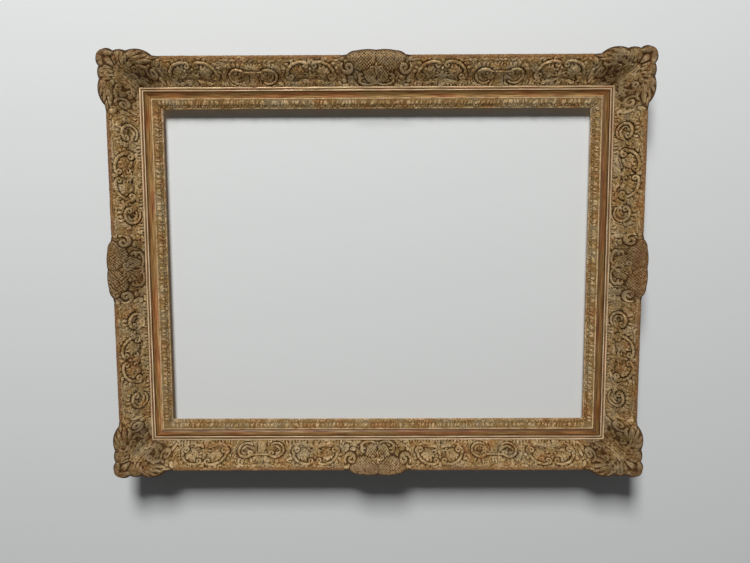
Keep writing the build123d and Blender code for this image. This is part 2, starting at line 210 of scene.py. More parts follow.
def mitred_strip(name, material, side, loop, step, fields, crease, sway=0.0, front=0.0, seed=0):
    """A mitred moulding from a closed section loop in (u, d); where front is 1 it sways in and out."""
    along = SIDES[side][0]
    rows = int((along + 2 * loop[:, 0].max()) / step)
    s = np.linspace(-1, 1, rows)[:, None] * (along / 2 + loop[None, :, 0])
    u, d = (np.broadcast_to(loop[None, :, k], s.shape) for k in (0, 1))
    d = d + wander(SWAY_PITCH, seed)(s) * sway * front
    uv = np.stack([s, np.broadcast_to(run_length(loop), s.shape)], -1).reshape(-1, 2) * MM
    spread = {key: np.broadcast_to(values, s.shape) for key, values in fields.items()}
    return make_piece(name, material, on_side(side, s, u, d).reshape(-1, 3), tube_faces(rows, len(loop)),
                      spread, crease, uv)


# Old softwood: dull, close brown grain along the rail, paler where planed, darker where sized.
GRAIN_RUN, GRAIN_PITCH, WOOD_STAIN = 125.0, 2.5, 71.4
old_softwood, tree = new_finish("old_softwood")
lengthwise = add(tree, "ShaderNodeUVMap", {"uv_map": "lengthwise"})
in_place = add(tree, "ShaderNodeTexCoord").outputs["Object"]
where_sized = add(tree, "ShaderNodeAttribute", {"attribute_name": "sized"}).outputs["Fac"]
grain_place = add(tree, "ShaderNodeMapping", inputs={
    "Vector": lengthwise, "Scale": (per_metre(GRAIN_RUN), per_metre(GRAIN_PITCH), 1)})
grain = add(tree, "ShaderNodeTexNoise", inputs={
    "Vector": grain_place, "Scale": 1.0, "Detail": 4.0, "Roughness": 0.6, "Distortion": 0.6})
tones = add(tree, "ShaderNodeTexNoise", inputs={
    "Vector": in_place, "Scale": per_metre(WOOD_STAIN), "Detail": 3.0})
bare = add(tree, "ShaderNodeValToRGB", {"name": "bare_grain"}, {"Fac": grain},
           [(0.3, "#4a3220"), (0.7, "#8a6848"), (0.52, "#6f4f33")])
sized = add(tree, "ShaderNodeValToRGB", None, {"Fac": grain}, [(0.3, "#3a2412"), (0.75, "#6b4a28")])
stain = add(tree, "ShaderNodeValToRGB", None, {"Fac": tones}, [(0.35, "#a08c78"), (0.65, "#ffffff")])
wood = add(tree, "ShaderNodeMix", {"data_type": "RGBA"}, {"Factor": where_sized, "A": bare, "B": sized})
stained = add(tree, "ShaderNodeMix", {"data_type": "RGBA", "blend_type": "MULTIPLY"},
              {"Factor": 0.55, "A": wood, "B": stain})
grain_bump = add(tree, "ShaderNodeBump", inputs={"Height": grain, "Strength": 0.25, "Distance": 0.0004})
add(tree, "Principled BSDF", inputs={"Base Color": stained, "Normal": grain_bump, "Roughness": 0.75})

side_hollow = arc((RAIL_OUTER, SIDE_TOP), (FOOT, SIDE_BOTTOM), SIDE_HEADING, 24)
rail_loop = eased([
    (FOOT, 0), (RECESS_END, 0), (RECESS_END, RECESS), (LEDGE_WIDTH, RECESS), (LEDGE_WIDTH, BED),
    (BAND_START, BED), (BAND_START, SEAT_INNER), (RAIL_OUTER, SEAT_OUTER), *side_hollow], RAIL_EASE)
rail_sized = np.where((rail_loop[:, 0] > SIZED_FROM) & (rail_loop[:, 1] > SIZED_ABOVE), 1.0, 0.0)
for side in SIDES:
    rail = mitred_strip(f"{side}_rail_planed", old_softwood, side, rail_loop, RAIL_STEP,
                        {"sized": rail_sized}, RAIL_CREASE)
    fix_to_frame(rail, "bare_wood", f"{side}_rail")

# Mitre keys
# A bow-tie of harder wood let into the back across each mitre, glued and planed off nearly flush, so that the
# joint can't open. Its grain runs across the mitre.
KEY_PLACE, KEY_HALF, KEY_END, KEY_WAIST, KEY_DEPTH, KEY_PROUD = 50.0, 14.0, 6.0, 3.25, 5.5, 0.25
KEY_EASE, KEY_ROUND, KEY_TOP = 0.6, 0.1, 0.97
CORNERS = {"top_right": (1, 1, 0), "bottom_right": (1, -1, 90), "bottom_left": (-1, -1, 180),
           "top_left": (-1, 1, 270)}


def at_corner(corner, x, z, d):
    """Metres of places x, z beyond one sight corner, drawn as at the top right, and d from the wall."""
    sign_x, sign_z, turn = CORNERS[corner]
    c, k = round(math.cos(math.radians(turn))), round(math.sin(math.radians(turn)))
    return np.stack([sign_x * SIGHT_WIDTH / 2 + x * c + z * k, -d + 0 * x,
                     sign_z * SIGHT_HEIGHT / 2 - x * k + z * c], -1) * MM


# Key hardwood: the same dull grain as the rails' in a paler, greyer brown.
key_wood = old_softwood.copy()
key_wood.name = "key_hardwood"
key_grain = key_wood.node_tree.nodes["bare_grain"].color_ramp
for stop, code in zip(key_grain.elements, ("#5f4a35", "#8f7250", "#b0946c")):
    stop.color = linear(code)

bow_tie = eased([(-KEY_HALF, -KEY_END), (0, -KEY_WAIST), (KEY_HALF, -KEY_END), (KEY_HALF, KEY_END),
                 (0, KEY_WAIST), (-KEY_HALF, KEY_END)], KEY_EASE)
leaning = np.stack([bow_tie.sum(1), bow_tie[:, 1] - bow_tie[:, 0]]) * math.sqrt(0.5)
for corner in CORNERS:
    n = len(bow_tie)
    rings = [at_corner(corner, *(KEY_PLACE + leaning * share), np.full(n, depth))
             for share, depth in ((1, KEY_DEPTH), (1, KEY_ROUND - KEY_PROUD), (KEY_TOP, -KEY_PROUD))]
    key = make_piece(f"{corner}_key", key_wood, np.concatenate(rings), tube_faces(3, n),
                     {"sized": np.zeros(3 * n)}, RAIL_CREASE, np.tile(bow_tie, (3, 1)) * MM)
    fix_to_frame(key, "bare_wood", f"{corner}_mitre_key")

# Hollow mouldings
# A mitred moulding with a plain hollow, a quirk, a round bead and a flat fillet against the carved band.
# Glued on the rail and water gilded on red bole; the gold is rubbed through in long streaks, and the arrises
# are worn to the pale gesso. Painted shade darkens the foot of the hollow, the quirk, the bead's foot and the
# fillet's step.
BEAD, QUIRK, QUIRK_DEPTH, FILLET, FILLET_CREST = 2.6, 1.2, 2.0, 3.4, 30.0
FILLET_EDGE, FILLET_SINK, FILLET_RISE = 1.9, 0.6, 0.2
HOLLOW_START, HOLLOW_LIP, HOLLOW_HEADING, BEAD_HEADING = 19.0, 27.0, 13, 88
HOLLOW_EASE, HOLLOW_STEP, HOLLOW_SWAY, HOLLOW_SEED, MOULDING_CREASE = 0.3, 5.0, 0.16, 20, 38
# How dark painted shade makes the foot of the hollow, the quirk, the bead's foot and the fillet's step, and
# the plain face's value.
FOOT_SHADE, QUIRK_SHADE, BEAD_FOOT_SHADE, FILLET_STEP_SHADE, PLAIN_FACE = -0.6, -1.0, -0.3, -0.55, 0.1
# How much darker each side is made and how much more painted shade lies at the foot of the hollow, and how
# pale its arrises are worn.
HOLLOW_DARKENING = {"top": 0.03, "right": 0.28, "bottom": 0.3, "left": 0.08}
HOLLOW_FOOT_SHADE, HOLLOW_MIDDLE_SHADE = 2.6, 1.2
PALENESS = {"top": 0.72, "right": 0.9, "bottom": 1.0, "left": 0.9}


def brushed_over(tree, under, over, amount, none, full, most=1.0):
    """One finish brushed over another: none of it where amount has the first value, most at the second."""
    share = add(tree, "ShaderNodeMapRange", inputs={
        "Value": amount, "From Min": none, "From Max": full, "To Max": most})
    return add(tree, "ShaderNodeMix", {"data_type": "RGBA"}, {"Factor": share, "A": under, "B": over})


# Rubbed gilding: satin, brown-gold with red bole in streaks along the length and cream on the arrises, with
# painted shade in the grooves and darkened where told. The rubbing streaks are drawn a little coarse so that
# they show.
STREAK_RUN, STREAK_WIDTH, BOLE_RUN, BOLE_WIDTH = 40.0, 1.43, 71.4, 16.67
rubbed_gilding, tree = new_finish("rubbed_gilding_on_bole")
lengthwise = add(tree, "ShaderNodeUVMap", {"uv_map": "lengthwise"})
arris, soot = (add(tree, "ShaderNodeAttribute", {"attribute_name": name}).outputs["Fac"]
               for name in ("arris", "soot"))
streak_place = add(tree, "ShaderNodeMapping", inputs={
    "Vector": lengthwise, "Scale": (per_metre(STREAK_RUN), per_metre(STREAK_WIDTH), 1)})
streaks = add(tree, "ShaderNodeTexNoise", inputs={
    "Vector": streak_place, "Scale": 1.0, "Detail": 3.0, "Roughness": 0.55})
patch_place = add(tree, "ShaderNodeMapping", inputs={
    "Vector": lengthwise, "Scale": (per_metre(BOLE_RUN), per_metre(BOLE_WIDTH), 1)})
patches = add(tree, "ShaderNodeTexNoise", inputs={"Vector": patch_place, "Scale": 1.0, "Detail": 2.0})
gold = add(tree, "ShaderNodeValToRGB", None, {"Fac": streaks},
           [(0.35, "#5f421d"), (0.65, "#b4935a"), (0.5, "#8b6836")])
bole = add(tree, "ShaderNodeValToRGB", None, {"Fac": streaks},
           [(0.35, "#5e3116"), (0.65, "#b9844f"), (0.5, "#8f5a2d")])
cream = add(tree, "ShaderNodeValToRGB", None, {"Fac": streaks}, [(0.3, "#a28762"), (0.65, "#d8c2a0")])
rubbed = brushed_over(tree, gold, bole, patches, 0.44, 0.6)
worn_pale = brushed_over(tree, rubbed, cream, arris, 0.2, 1.0, 0.92)
# Painted shade: dark brown in the grooves, where the field is below nought.
groove_shade = brushed_over(tree, worn_pale, "#2c1606", arris, -0.2, -1.0, 0.85)
# Darkened where told: painted shade at the foot of the hollow, and darker on some sides than others.
darkened = brushed_over(tree, groove_shade, "#301804", soot, 0.0, 1.0)
gloss = add(tree, "ShaderNodeMapRange", inputs={
    "Value": streaks, "From Min": 0.3, "From Max": 0.7, "To Min": 0.52, "To Max": 0.36})
add(tree, "Principled BSDF", inputs={
    "Base Color": darkened, "Roughness": gloss, "Metallic": 0.25, "Specular IOR Level": 0.3})

fillet_in = BAND_START - FILLET
bead_in = fillet_in - BEAD
quirk_in = bead_in - QUIRK
fillet_top = BAND_START - FILLET_EDGE
hollow_curve = arc((SIGHT_BAND, HOLLOW_START), (quirk_in, HOLLOW_LIP), HOLLOW_HEADING, 14)
bead_curve = arc((bead_in, HOLLOW_LIP), (fillet_in, HOLLOW_LIP), BEAD_HEADING, 12)
hollow_loop = eased([
    *hollow_curve, (quirk_in, HOLLOW_LIP - QUIRK_DEPTH), (bead_in, HOLLOW_LIP - QUIRK_DEPTH), *bead_curve,
    (fillet_in, FILLET_CREST - FILLET_SINK), (fillet_top - FILLET_RISE, FILLET_CREST - FILLET_SINK),
    (fillet_top, FILLET_CREST), (BAND_START, FILLET_CREST), (BAND_START, BED),
    (SIGHT_BAND, BED)], HOLLOW_EASE)
hollow_u, hollow_d = hollow_loop.T
hollow_front = (hollow_d > BED + 1).astype(float)
at_foot = (hollow_u < SIGHT_BAND + 1.2) & (hollow_d < HOLLOW_START + 1.2)
in_quirk = (hollow_u > quirk_in + 0.05) & (hollow_u < bead_in + 0.05) & (hollow_d < HOLLOW_LIP - 0.3)
on_bead = (hollow_u > bead_in - 0.1) & (hollow_u < fillet_in - 0.1) & (hollow_d > HOLLOW_LIP - 0.2)
on_crest = hollow_d > FILLET_CREST - 0.3
on_fillet = (hollow_u > fillet_in - 0.1) & (hollow_d > BED + 1)
# The bead: painted shade at its foot, pale where its crest is worn.
bead_shade_and_wear = BEAD_FOOT_SHADE + (1 - BEAD_FOOT_SHADE) * np.clip(hollow_d - HOLLOW_LIP, 0, 1)
# Pale where the crests are worn; painted shade in the grooves.
wear_and_shade_field = np.select([at_foot, in_quirk, on_bead, on_crest, on_fillet],
                        [FOOT_SHADE, QUIRK_SHADE, bead_shade_and_wear, 1.0, FILLET_STEP_SHADE], PLAIN_FACE)
# Painted shade heaviest at the foot of the hollow, under the sight moulding.
hollow_shade_share = np.interp(hollow_u, [SIGHT_BAND + 3, SIGHT_BAND + 6, fillet_in], [HOLLOW_FOOT_SHADE, HOLLOW_MIDDLE_SHADE, 1.0])
for number, side in enumerate(SIDES):
    wear = {"arris": np.minimum(wear_and_shade_field, PALENESS[side]), "soot": HOLLOW_DARKENING[side] * hollow_shade_share}
    hollow = mitred_strip(f"{side}_hollow_run", rubbed_gilding, side, hollow_loop, HOLLOW_STEP, wear,
                          MOULDING_CREASE, HOLLOW_SWAY, hollow_front, HOLLOW_SEED + number)
    fix_to_frame(hollow, "worn_bole", f"{side}_hollow_moulding")

# Sight mouldings
# The innermost moulding: a plain thin lip at the picture, then a small ovolo cut with leaf tips and pearls.
# Its back is the ledge that the picture lies against. Glued on the rail, gilded and washed grey-brown like
# the rest of the carving.
LEDGE, SIGHT_EDGE, SIGHT_LIP, SIGHT_FILLET, SIGHT_CREST, SIGHT_QUIRK = 10.5, 14.0, 2.2, 1.7, 21.0, 0.8
OVOLO_HEADING, OVOLO_SINK = 65, 0.55
SIGHT_EASE, SIGHT_STEP, SIGHT_SWAY, SIGHT_SEED = 0.35, 6.0, 0.08, 40
OVOLO_CUT, FILLET_CUT, LIP_CUT = -0.34, 0.85, 0.25
OVOLO_BOLE, LIP_BOLE = 0.2, 0.45
TIP_PITCH, TIP_SEED, PEARL_PITCH, PEARL_SEED = 5.3, 3, 3.1, 13
TIP_COLUMNS, TIP_INSET, TIP_EDGE, TIP_END = 7, 0.3, -0.8, -0.3

# Patinated gilding: dull brown gold under a grey-brown wash in patches, flecked with gold, with painted shade
# in the cuts, rubbed pale on some of the high places as wear and painted highlight, and darkened where told.
# The grain of the dust is drawn coarse so that it shows.
WASH_PATCH, WEAR_PATCH, FLECK, DUST = 29.4, 11.76, 2.381, 0.909
RUBBED_FROM, RUBBED_TO = 1.42, 1.95
patinated_gilding, tree = new_finish("patinated_gilding")
in_place = add(tree, "ShaderNodeTexCoord").outputs["Object"]
cut, bole, soot = (add(tree, "ShaderNodeAttribute", {"attribute_name": name}).outputs["Fac"]
                   for name in ("cut", "bole", "soot"))
patches, wear, flecks, dust = (
    add(tree, "ShaderNodeTexNoise", inputs={
        "Vector": in_place, "Scale": per_metre(across), "Detail": detail, "Roughness": rough})
    for across, detail, rough in (
        (WASH_PATCH, 3.0, 0.5), (WEAR_PATCH, 2.0, 0.5), (FLECK, 3.0, 0.6), (DUST, 2.0, 0.5)))
# Painted highlight and wear: the higher a place stands over its neighbours, the paler it is rubbed.
raised = add(tree, "ShaderNodeMath", {"operation": "MULTIPLY"}, {0: cut, 1: 0.42})
rubbing = add(tree, "ShaderNodeMath", {"operation": "MULTIPLY_ADD"}, {0: wear, 1: 1.6, 2: raised})
high = add(tree, "ShaderNodeMath", {"operation": "MULTIPLY_ADD"}, {0: flecks, 1: 1.3, 2: rubbing})
bared = add(tree, "ShaderNodeMath", {"operation": "MULTIPLY"}, {0: bole, 1: patches})
wash = add(tree, "ShaderNodeValToRGB", None, {"Fac": patches},
           [(0.33, "#855d36"), (0.67, "#908063"), (0.5, "#856b42")])
bole_tone = add(tree, "ShaderNodeValToRGB", None, {"Fac": flecks}, [(0.35, "#4c2e18"), (0.65, "#825b39")])
flecked = brushed_over(tree, wash, "#a6844d", flecks, 0.5, 0.7)
pitted = brushed_over(tree, flecked, "#412a10", flecks, 0.48, 0.3, 0.65)
rubbed = brushed_over(tree, pitted, "#bea47c", high, RUBBED_FROM, RUBBED_TO, 0.75)
# Painted shade: dark brown in the cuts.
sunk = brushed_over(tree, rubbed, "#331b05", cut, -0.08, -0.6, 0.84)
tinted = brushed_over(tree, sunk, bole_tone, bared, 0.2, 0.6, 0.85)
# Darkened where told: painted shade on the corners and along the rims, and darker on some sides than others.
darkened = brushed_over(tree, tinted, "#331e09", soot, 0.0, 1.0)
gloss = add(tree, "ShaderNodeMapRange", inputs={
    "Value": high, "From Min": RUBBED_FROM, "From Max": RUBBED_TO, "To Min": 0.62, "To Max": 0.47})
dust_bump = add(tree, "ShaderNodeBump", inputs={"Height": dust, "Strength": 0.2, "Distance": 0.0003})
add(tree, "Principled BSDF", inputs={"Base Color": darkened, "Roughness": gloss, "Normal": dust_bump,
                                     "Metallic": 0.15, "Specular IOR Level": 0.1})

crest_in = SIGHT_BAND - SIGHT_FILLET
ovolo = arc((SIGHT_LIP, SIGHT_EDGE), (crest_in, SIGHT_CREST - SIGHT_QUIRK), OVOLO_HEADING, 22)
ovolo_low = ovolo.copy()
ovolo_low[:, 1] -= OVOLO_SINK * np.sin(np.linspace(0, math.pi, len(ovolo)))
sight_loop = eased([*ovolo_low, (crest_in, SIGHT_CREST), (SIGHT_BAND, SIGHT_CREST), (SIGHT_BAND, BED),
                    (LEDGE_WIDTH, BED), (LEDGE_WIDTH, LEDGE), (0, LEDGE), (0, SIGHT_EDGE)], SIGHT_EASE)
sight_u, sight_d = sight_loop.T
sight_front = (sight_d > LEDGE + 1).astype(float)
on_ovolo = (sight_u > SIGHT_LIP + 0.3) & (sight_u < crest_in - 0.1) & (sight_d > SIGHT_EDGE)
# The ovolo's ground between the leaf tips is painted dark as painted shade; the fillet's crest and the lip
# are painted pale, as worn gilding and painted highlight.
sight_cut = np.select([sight_d < SIGHT_EDGE - 0.5, on_ovolo, sight_u > crest_in - 0.1],
                      [0.0, OVOLO_CUT, FILLET_CUT], LIP_CUT)
sight_bole = np.where(on_ovolo, OVOLO_BOLE, LIP_BOLE)

lip_flat = np.linspace((TIP_INSET, SIGHT_EDGE), (SIGHT_LIP - TIP_INSET, SIGHT_EDGE), 4)
tip_bed = np.concatenate([lip_flat, ovolo])
bed_share = run_length(tip_bed) / run_length(tip_bed)[-1]
bed_normal = np.stack([-np.gradient(tip_bed[:, 1]), np.gradient(tip_bed[:, 0])], -1)
bed_normal /= np.hypot(*bed_normal.T)[:, None]


def grid_quads(index):
    """Faces of an open grid of point numbers."""
    return np.stack([index[:-1, :-1], index[1:, :-1], index[1:, 1:], index[:-1, 1:]], -1)


def tip_unit(name, start, stop, profile, lifts, ribs, slant, seed):
    """One carved unit bent over the ovolo from start to stop, drawn at the middle of the top side.

    profile is its half width and lifts its height in rows away from the sight edge; it leans by slant."""
    rng = np.random.default_rng(seed)
    t = np.linspace(start, stop, len(profile))
    base, out = (np.stack([np.interp(t, bed_share, line[:, k]) for k in (0, 1)], -1)
                 for line in (tip_bed, bed_normal))
    k = np.linspace(-1, 1, TIP_COLUMNS)
    side = np.array(profile)[:, None] * k + slant * (t[:, None] - start)
    lift = np.array(lifts)[:, None] * np.sqrt(1 - 0.97 * k ** 2) * (1 - 0.4 * np.cos(math.pi * ribs * k))
    lift *= rng.uniform(0.7, 1.25, lift.shape)
    lift[:, [0, -1]] = TIP_EDGE
    lift[[0, -1]] = np.minimum(lift[[0, -1]], TIP_END)
    points = base[:, None, :] + out[:, None, :] * lift[..., None]
    verts = np.stack([side, -points[..., 1], points[..., 0]], -1).reshape(-1, 3) * MM
    quads = grid_quads(np.arange(side.size).reshape(side.shape)).reshape(-1, 4)
    mesh = bpy.data.meshes.new(name)
    mesh.from_pydata(verts.tolist(), [], quads.tolist())
    # The cut paints shade low between the tips and highlight on their raised middles.
    mesh.attributes.new("cut", "FLOAT", "POINT").data.foreach_set("value", (lift * 0.8 - 0.42).ravel())
    mesh.shade_smooth()
    return bpy.data.objects.new(name, mesh)


def new_tree(name, sockets):
    """A geometry tree with these named inputs, and the sockets that they come out of."""
    tree = bpy.data.node_groups.new(name, "GeometryNodeTree")
    for key, kind in sockets.items():
        tree.interface.new_socket(key, in_out="INPUT", socket_type=f"NodeSocket{kind}")
    tree.interface.new_socket("Geometry", in_out="OUTPUT", socket_type="NodeSocketGeometry")
    return tree, add(tree, "NodeGroupInput").outputs


def grown(tree, name, places=(), **values):
    """Plain mesh object from a geometry tree with these named inputs, on the given places."""
    points = bpy.data.meshes.new(name)
    points.from_pydata([tuple(p) for p in places], [], [])
    holder = bpy.data.objects.new(name, points)
    bpy.context.scene.collection.objects.link(holder)
    modifier = holder.modifiers.new(name, "NODES")
    modifier.node_group = tree
    sockets = {item.name: item.identifier for item in tree.interface.items_tree if item.in_out == "INPUT"}
    for key, value in values.items():
        modifier[sockets[key.replace("_", " ").capitalize()]] = value
    bpy.context.view_layer.update()
    mesh = bpy.data.meshes.new_from_object(holder.evaluated_get(bpy.context.evaluated_depsgraph_get()))
    holder.modifiers.remove(modifier)
    holder.data = mesh
    return holder


LEAF_TIP = (0.6, 1.7, 2.3, 2.6, 2.5, 2.0, 1.3, 0.4)
LEAF_LIFT = (0.2, 0.7, 0.9, 0.95, 0.9, 0.8, 0.6, 0.2)
PEARL, PEARL_LIFT = (0.5, 1.2, 1.45, 1.2, 0.5), (0.3, 1.2, 1.6, 1.2, 0.3)
leaf_set, pearl_set = (bpy.data.collections.new(name) for name in ("leaf_tips", "pearls"))
for kept, name, start, stop, profile, lifts, ribs, slant, seed in (
        (leaf_set, "leaf_tip_ribbed", 0.36, 0.99, LEAF_TIP, LEAF_LIFT, 2.0, 4.0, 1),
        (leaf_set, "leaf_tip_plain", 0.42, 0.97, LEAF_TIP, LEAF_LIFT, 1.0, -3.0, 2),
        (leaf_set, "leaf_tip_shell", 0.34, 0.99, LEAF_TIP, LEAF_LIFT, 3.0, 0.8, 3),
        (leaf_set, "leaf_tip_curled", 0.4, 0.9, LEAF_TIP, LEAF_LIFT, 1.5, 5.0, 4),
        (pearl_set, "pearl_at_lip", 0.02, 0.22, PEARL, PEARL_LIFT, 0.0, 0.5, 5),
        (pearl_set, "pearl_above", 0.16, 0.42, PEARL, PEARL_LIFT, 0.0, -1.0, 6),
        (pearl_set, "husk", 0.04, 0.44, PEARL, PEARL_LIFT, 1.0, 2.0, 7)):
    kept.objects.link(tip_unit(name, start, stop, profile, lifts, ribs, slant, seed))

tips_along, given = new_tree("leaf_tips_along_rail", {
    "Length": "Float", "Pitch": "Float", "Sight offset": "Float", "Turn": "Float", "Seed": "Int",
    "Leaves": "Collection", "Finish": "Material"})
exact = add(tips_along, "ShaderNodeMath", {"operation": "DIVIDE"}, {0: given["Length"], 1: given["Pitch"]})
count = add(tips_along, "ShaderNodeMath", {"operation": "ROUND"}, {0: exact})
ends = []
for share in (-0.5, 0.5):
    reach = add(tips_along, "ShaderNodeMath", {"operation": "MULTIPLY"}, {0: given["Length"], 1: share})
    ends.append(add(tips_along, "ShaderNodeCombineXYZ", inputs={"X": reach, "Z": given["Sight offset"]}))
line = add(tips_along, "GeometryNodeMeshLine", {"mode": "END_POINTS"},
           {"Count": count, "Start Location": ends[0], "Offset": ends[1]})
leaves = add(tips_along, "GeometryNodeCollectionInfo", inputs={
    "Collection": given["Leaves"], "Separate Children": True, "Reset Children": False})
pick = add(tips_along, "FunctionNodeRandomValue", {"data_type": "INT"},
           {"Min": 0, "Max": 3, "Seed": given["Seed"]})
size = add(tips_along, "FunctionNodeRandomValue", {"data_type": "FLOAT_VECTOR"},
           {"Min": (0.7, 0.97, 0.95), "Max": (1.2, 1.02, 1.03), "Seed": given["Seed"]})
tilt = add(tips_along, "FunctionNodeRandomValue", {"data_type": "FLOAT_VECTOR"},
           {"Min": (0, -0.42, 0), "Max": (0, 0.42, 0), "Seed": given["Seed"]})
tip_row = add(tips_along, "GeometryNodeInstanceOnPoints", inputs={
    "Points": line, "Instance": leaves, "Pick Instance": True, "Instance Index": pick, "Rotation": tilt,
    "Scale": size})
real = add(tips_along, "GeometryNodeRealizeInstances", inputs={"Geometry": tip_row})
turn_by = add(tips_along, "ShaderNodeCombineXYZ", inputs={"Y": given["Turn"]})
turned = add(tips_along, "GeometryNodeTransform", inputs={"Geometry": real, "Rotation": turn_by})
painted = add(tips_along, "GeometryNodeSetMaterial", inputs={"Geometry": turned, "Material": given["Finish"]})
add(tips_along, "NodeGroupOutput", inputs={"Geometry": painted})

for number, (side, (along, across, turn)) in enumerate(SIDES.items()):
    sight = mitred_strip(f"{side}_sight_run", patinated_gilding, side, sight_loop, SIGHT_STEP,
                         {"cut": sight_cut, "bole": sight_bole}, MOULDING_CREASE, SIGHT_SWAY, sight_front,
                         SIGHT_SEED + number)
    fix_to_frame(sight, "patinated_gilding", f"{side}_sight_moulding")
    for kept, pitch, seed in ((leaf_set, TIP_PITCH, TIP_SEED), (pearl_set, PEARL_PITCH, PEARL_SEED)):
        tip_run = grown(tips_along, f"{side}_{kept.name}", length=(along + 2) * MM, pitch=pitch * MM,
                        sight_offset=across / 2 * MM, turn=math.radians(turn), seed=seed + number,
                        leaves=kept, finish=patinated_gilding)
        fix_to_frame(tip_run, "patinated_gilding")

# Carved runs
# Eight lengths of lime wood carved in low relief and glued on the sloping face of the rails between the
# cartouches: round scrolls, pairs of leafy scrolls and a hatched ground, with a worn lip at the outer edge.
BAND_INNER, BAND_CREST, BAND_NOSE, BAND_DROP, BAND_TILT = 29.0, 64.0, 5.5, 4.0, 30.0
CENTRE_HALF, CORNER_ARM = 56.0, 88.0
CORNER_END = CORNER_ARM - RIM
# BACK_CUT is the cut given to the backs and skirts of the carvings, which paints them somewhat dark as shade.
GRID, CARVED_CREASE, BACK_CUT = 0.66, 75, -0.3
# How much darker each side's runs are made, more on the lower runs of the upright sides.
RUN_DARKENING = {"top": 0.015, "right": 0.13, "bottom": 0.06, "left": 0.03}
LOWER_RUN_DARKENING = 0.1
RUN_LIP, RUN_LIP_WIDTH, RUN_NOSE = 44.5, 6.0, 7.0
# How far the relief stands, the cells over which a fine and a broad cut are felt, the weight of the broad
# one, and the palest high place. The cut paints shade in the hollows and highlight on the crests.
RELIEF, FINE_CUT, BROAD_CUT, BROAD_SHARE, PALEST = 1.4, 2.0, 6.5, 0.2, 0.45
GROUND_PITCH, GROUND_DEPTH = 2.9, 0.45
BITE_SEED, WORN_SEED = 400, 100


def band_face():
    """Front of the carved band from its inner edge over the nose, as points in (u, d)."""
    inner = np.array([BAND_START, BAND_INNER])
    crest = np.array([RIM - BAND_NOSE, BAND_CREST])
    middle = (inner + crest) / 2
    steep = 2 * math.degrees(math.atan2(*(crest - inner)[::-1])) - BAND_TILT
    return np.concatenate([arc(inner, middle, BAND_TILT, 60)[:-1], arc(middle, crest, steep, 60)[:-1],
                           arc(crest, (RIM, BAND_CREST - BAND_DROP), BAND_TILT, 30)])


def soften(h, cells):
    """Rubs the relief down by a small radius, in cells."""
    size = int(3 * cells) + 1
    kernel = np.exp(-0.5 * (np.arange(-size, size + 1) / cells) ** 2)
    kernel /= kernel.sum()
    for axis in (0, 1):
        padded = np.pad(h, [(size, size) if k == axis else (0, 0) for k in (0, 1)], mode="edge")
        h = sum(w * np.take(padded, range(k, k + h.shape[axis]), axis) for k, w in enumerate(kernel))
    return h


def blank(a, b, seed, wear=0.25):
    """A block ready for carving: heights over the lines a and b, in millimetres, how hard the gouge bites
    where, and how far it was rubbed down since."""
    bite = soften(np.random.default_rng(seed).normal(0, 1, (len(a), len(b))), 6)
    return {"a": a, "b": b, "h": np.zeros(bite.shape), "wear": wear,
            "bite": np.clip(0.8 + 0.4 * bite / bite.std(), 0.2, 1.5)}


def carve(block, path, width, height, hollow=0.0, reeds=0, trench=2.0, depth=2.1):
    """Leaves a low strand standing along a path, with a groove beside it that cuts into earlier carving."""
    path = np.asarray(path, float)
    share = np.linspace(0, 1, len(path))
    width, height = (np.interp(share, np.linspace(0, 1, np.size(v)), np.ravel(v)) for v in (width, height))
    reach = width.max() + trench
    i0, i1 = np.searchsorted(block["a"], [path[:, 0].min() - reach, path[:, 0].max() + reach])
    j0, j1 = np.searchsorted(block["b"], [path[:, 1].min() - reach, path[:, 1].max() + reach])
    if i1 <= i0 or j1 <= j0:
        return
    a, b = np.meshgrid(block["a"][i0:i1], block["b"][j0:j1], indexing="ij")
    best, across, tall, wide = np.full(a.shape, 9.0), *(np.zeros(a.shape) for _ in range(3))
    for k in range(len(path) - 1):
        (x0, y0), (x1, y1) = path[k], path[k + 1]
        dx, dy = x1 - x0, y1 - y0
        size = max(math.hypot(dx, dy), 1e-6)
        t = np.clip(((a - x0) * dx + (b - y0) * dy) / size ** 2, 0, 1)
        ex, ey = a - x0 - t * dx, b - y0 - t * dy
        w = width[k] + t * (width[k + 1] - width[k])
        r = np.hypot(ex, ey) / w
        near = r < best
        best = np.where(near, r, best)
        across = np.where(near, (dx * ey - dy * ex) / size / w, across)
        tall = np.where(near, height[k] + t * (height[k + 1] - height[k]), tall)
        wide = np.where(near, w, wide)
    strand = tall * np.clip(1 - best ** 3, 0, 1) ** 0.6
    if hollow:
        strand *= 1 - hollow * np.exp(-(best / 0.5) ** 2)
    if reeds:
        strand *= 1 - 0.45 * (0.5 + 0.5 * np.cos(math.pi * reeds * (across + 1)))
    h = block["h"][i0:i1, j0:j1]
    away = (best - 1) * wide
    beside = (away >= 0) & (away < trench) & (h < tall * 1.05)
    h = np.where(beside, h - depth * block["bite"][i0:i1, j0:j1] * (1 - away / trench) ** 2, h)
    block["h"][i0:i1, j0:j1] = np.where(best < 1, np.maximum(h, strand), h)


def from_middle(block, x, y, rx, ry):
    """Squared distance of each place from the middle of an oval, 1 at its edge."""
    return ((block["a"][:, None] - x) / rx) ** 2 + ((block["b"][None, :] - y) / ry) ** 2


def swell(block, x, y, rx, ry, height, power):
    """Raises, or with a negative height sinks, an oval."""
    block["h"] += height * np.clip(1 - from_middle(block, x, y, rx, ry), 0, 1) ** power


def hatch(block, pitch, depth, mask=1.0):
    """Scores crossed lines where mask is 1."""
    a, b = block["a"][:, None], block["b"][None, :]
    score = np.zeros_like(block["h"])
    for way in (1, -1):
        wave = np.abs(((a + way * b) / pitch) % 1 - 0.5)
        score = np.maximum(score, np.clip(1 - wave / 0.24, 0, 1))
    block["h"] -= depth * score * mask


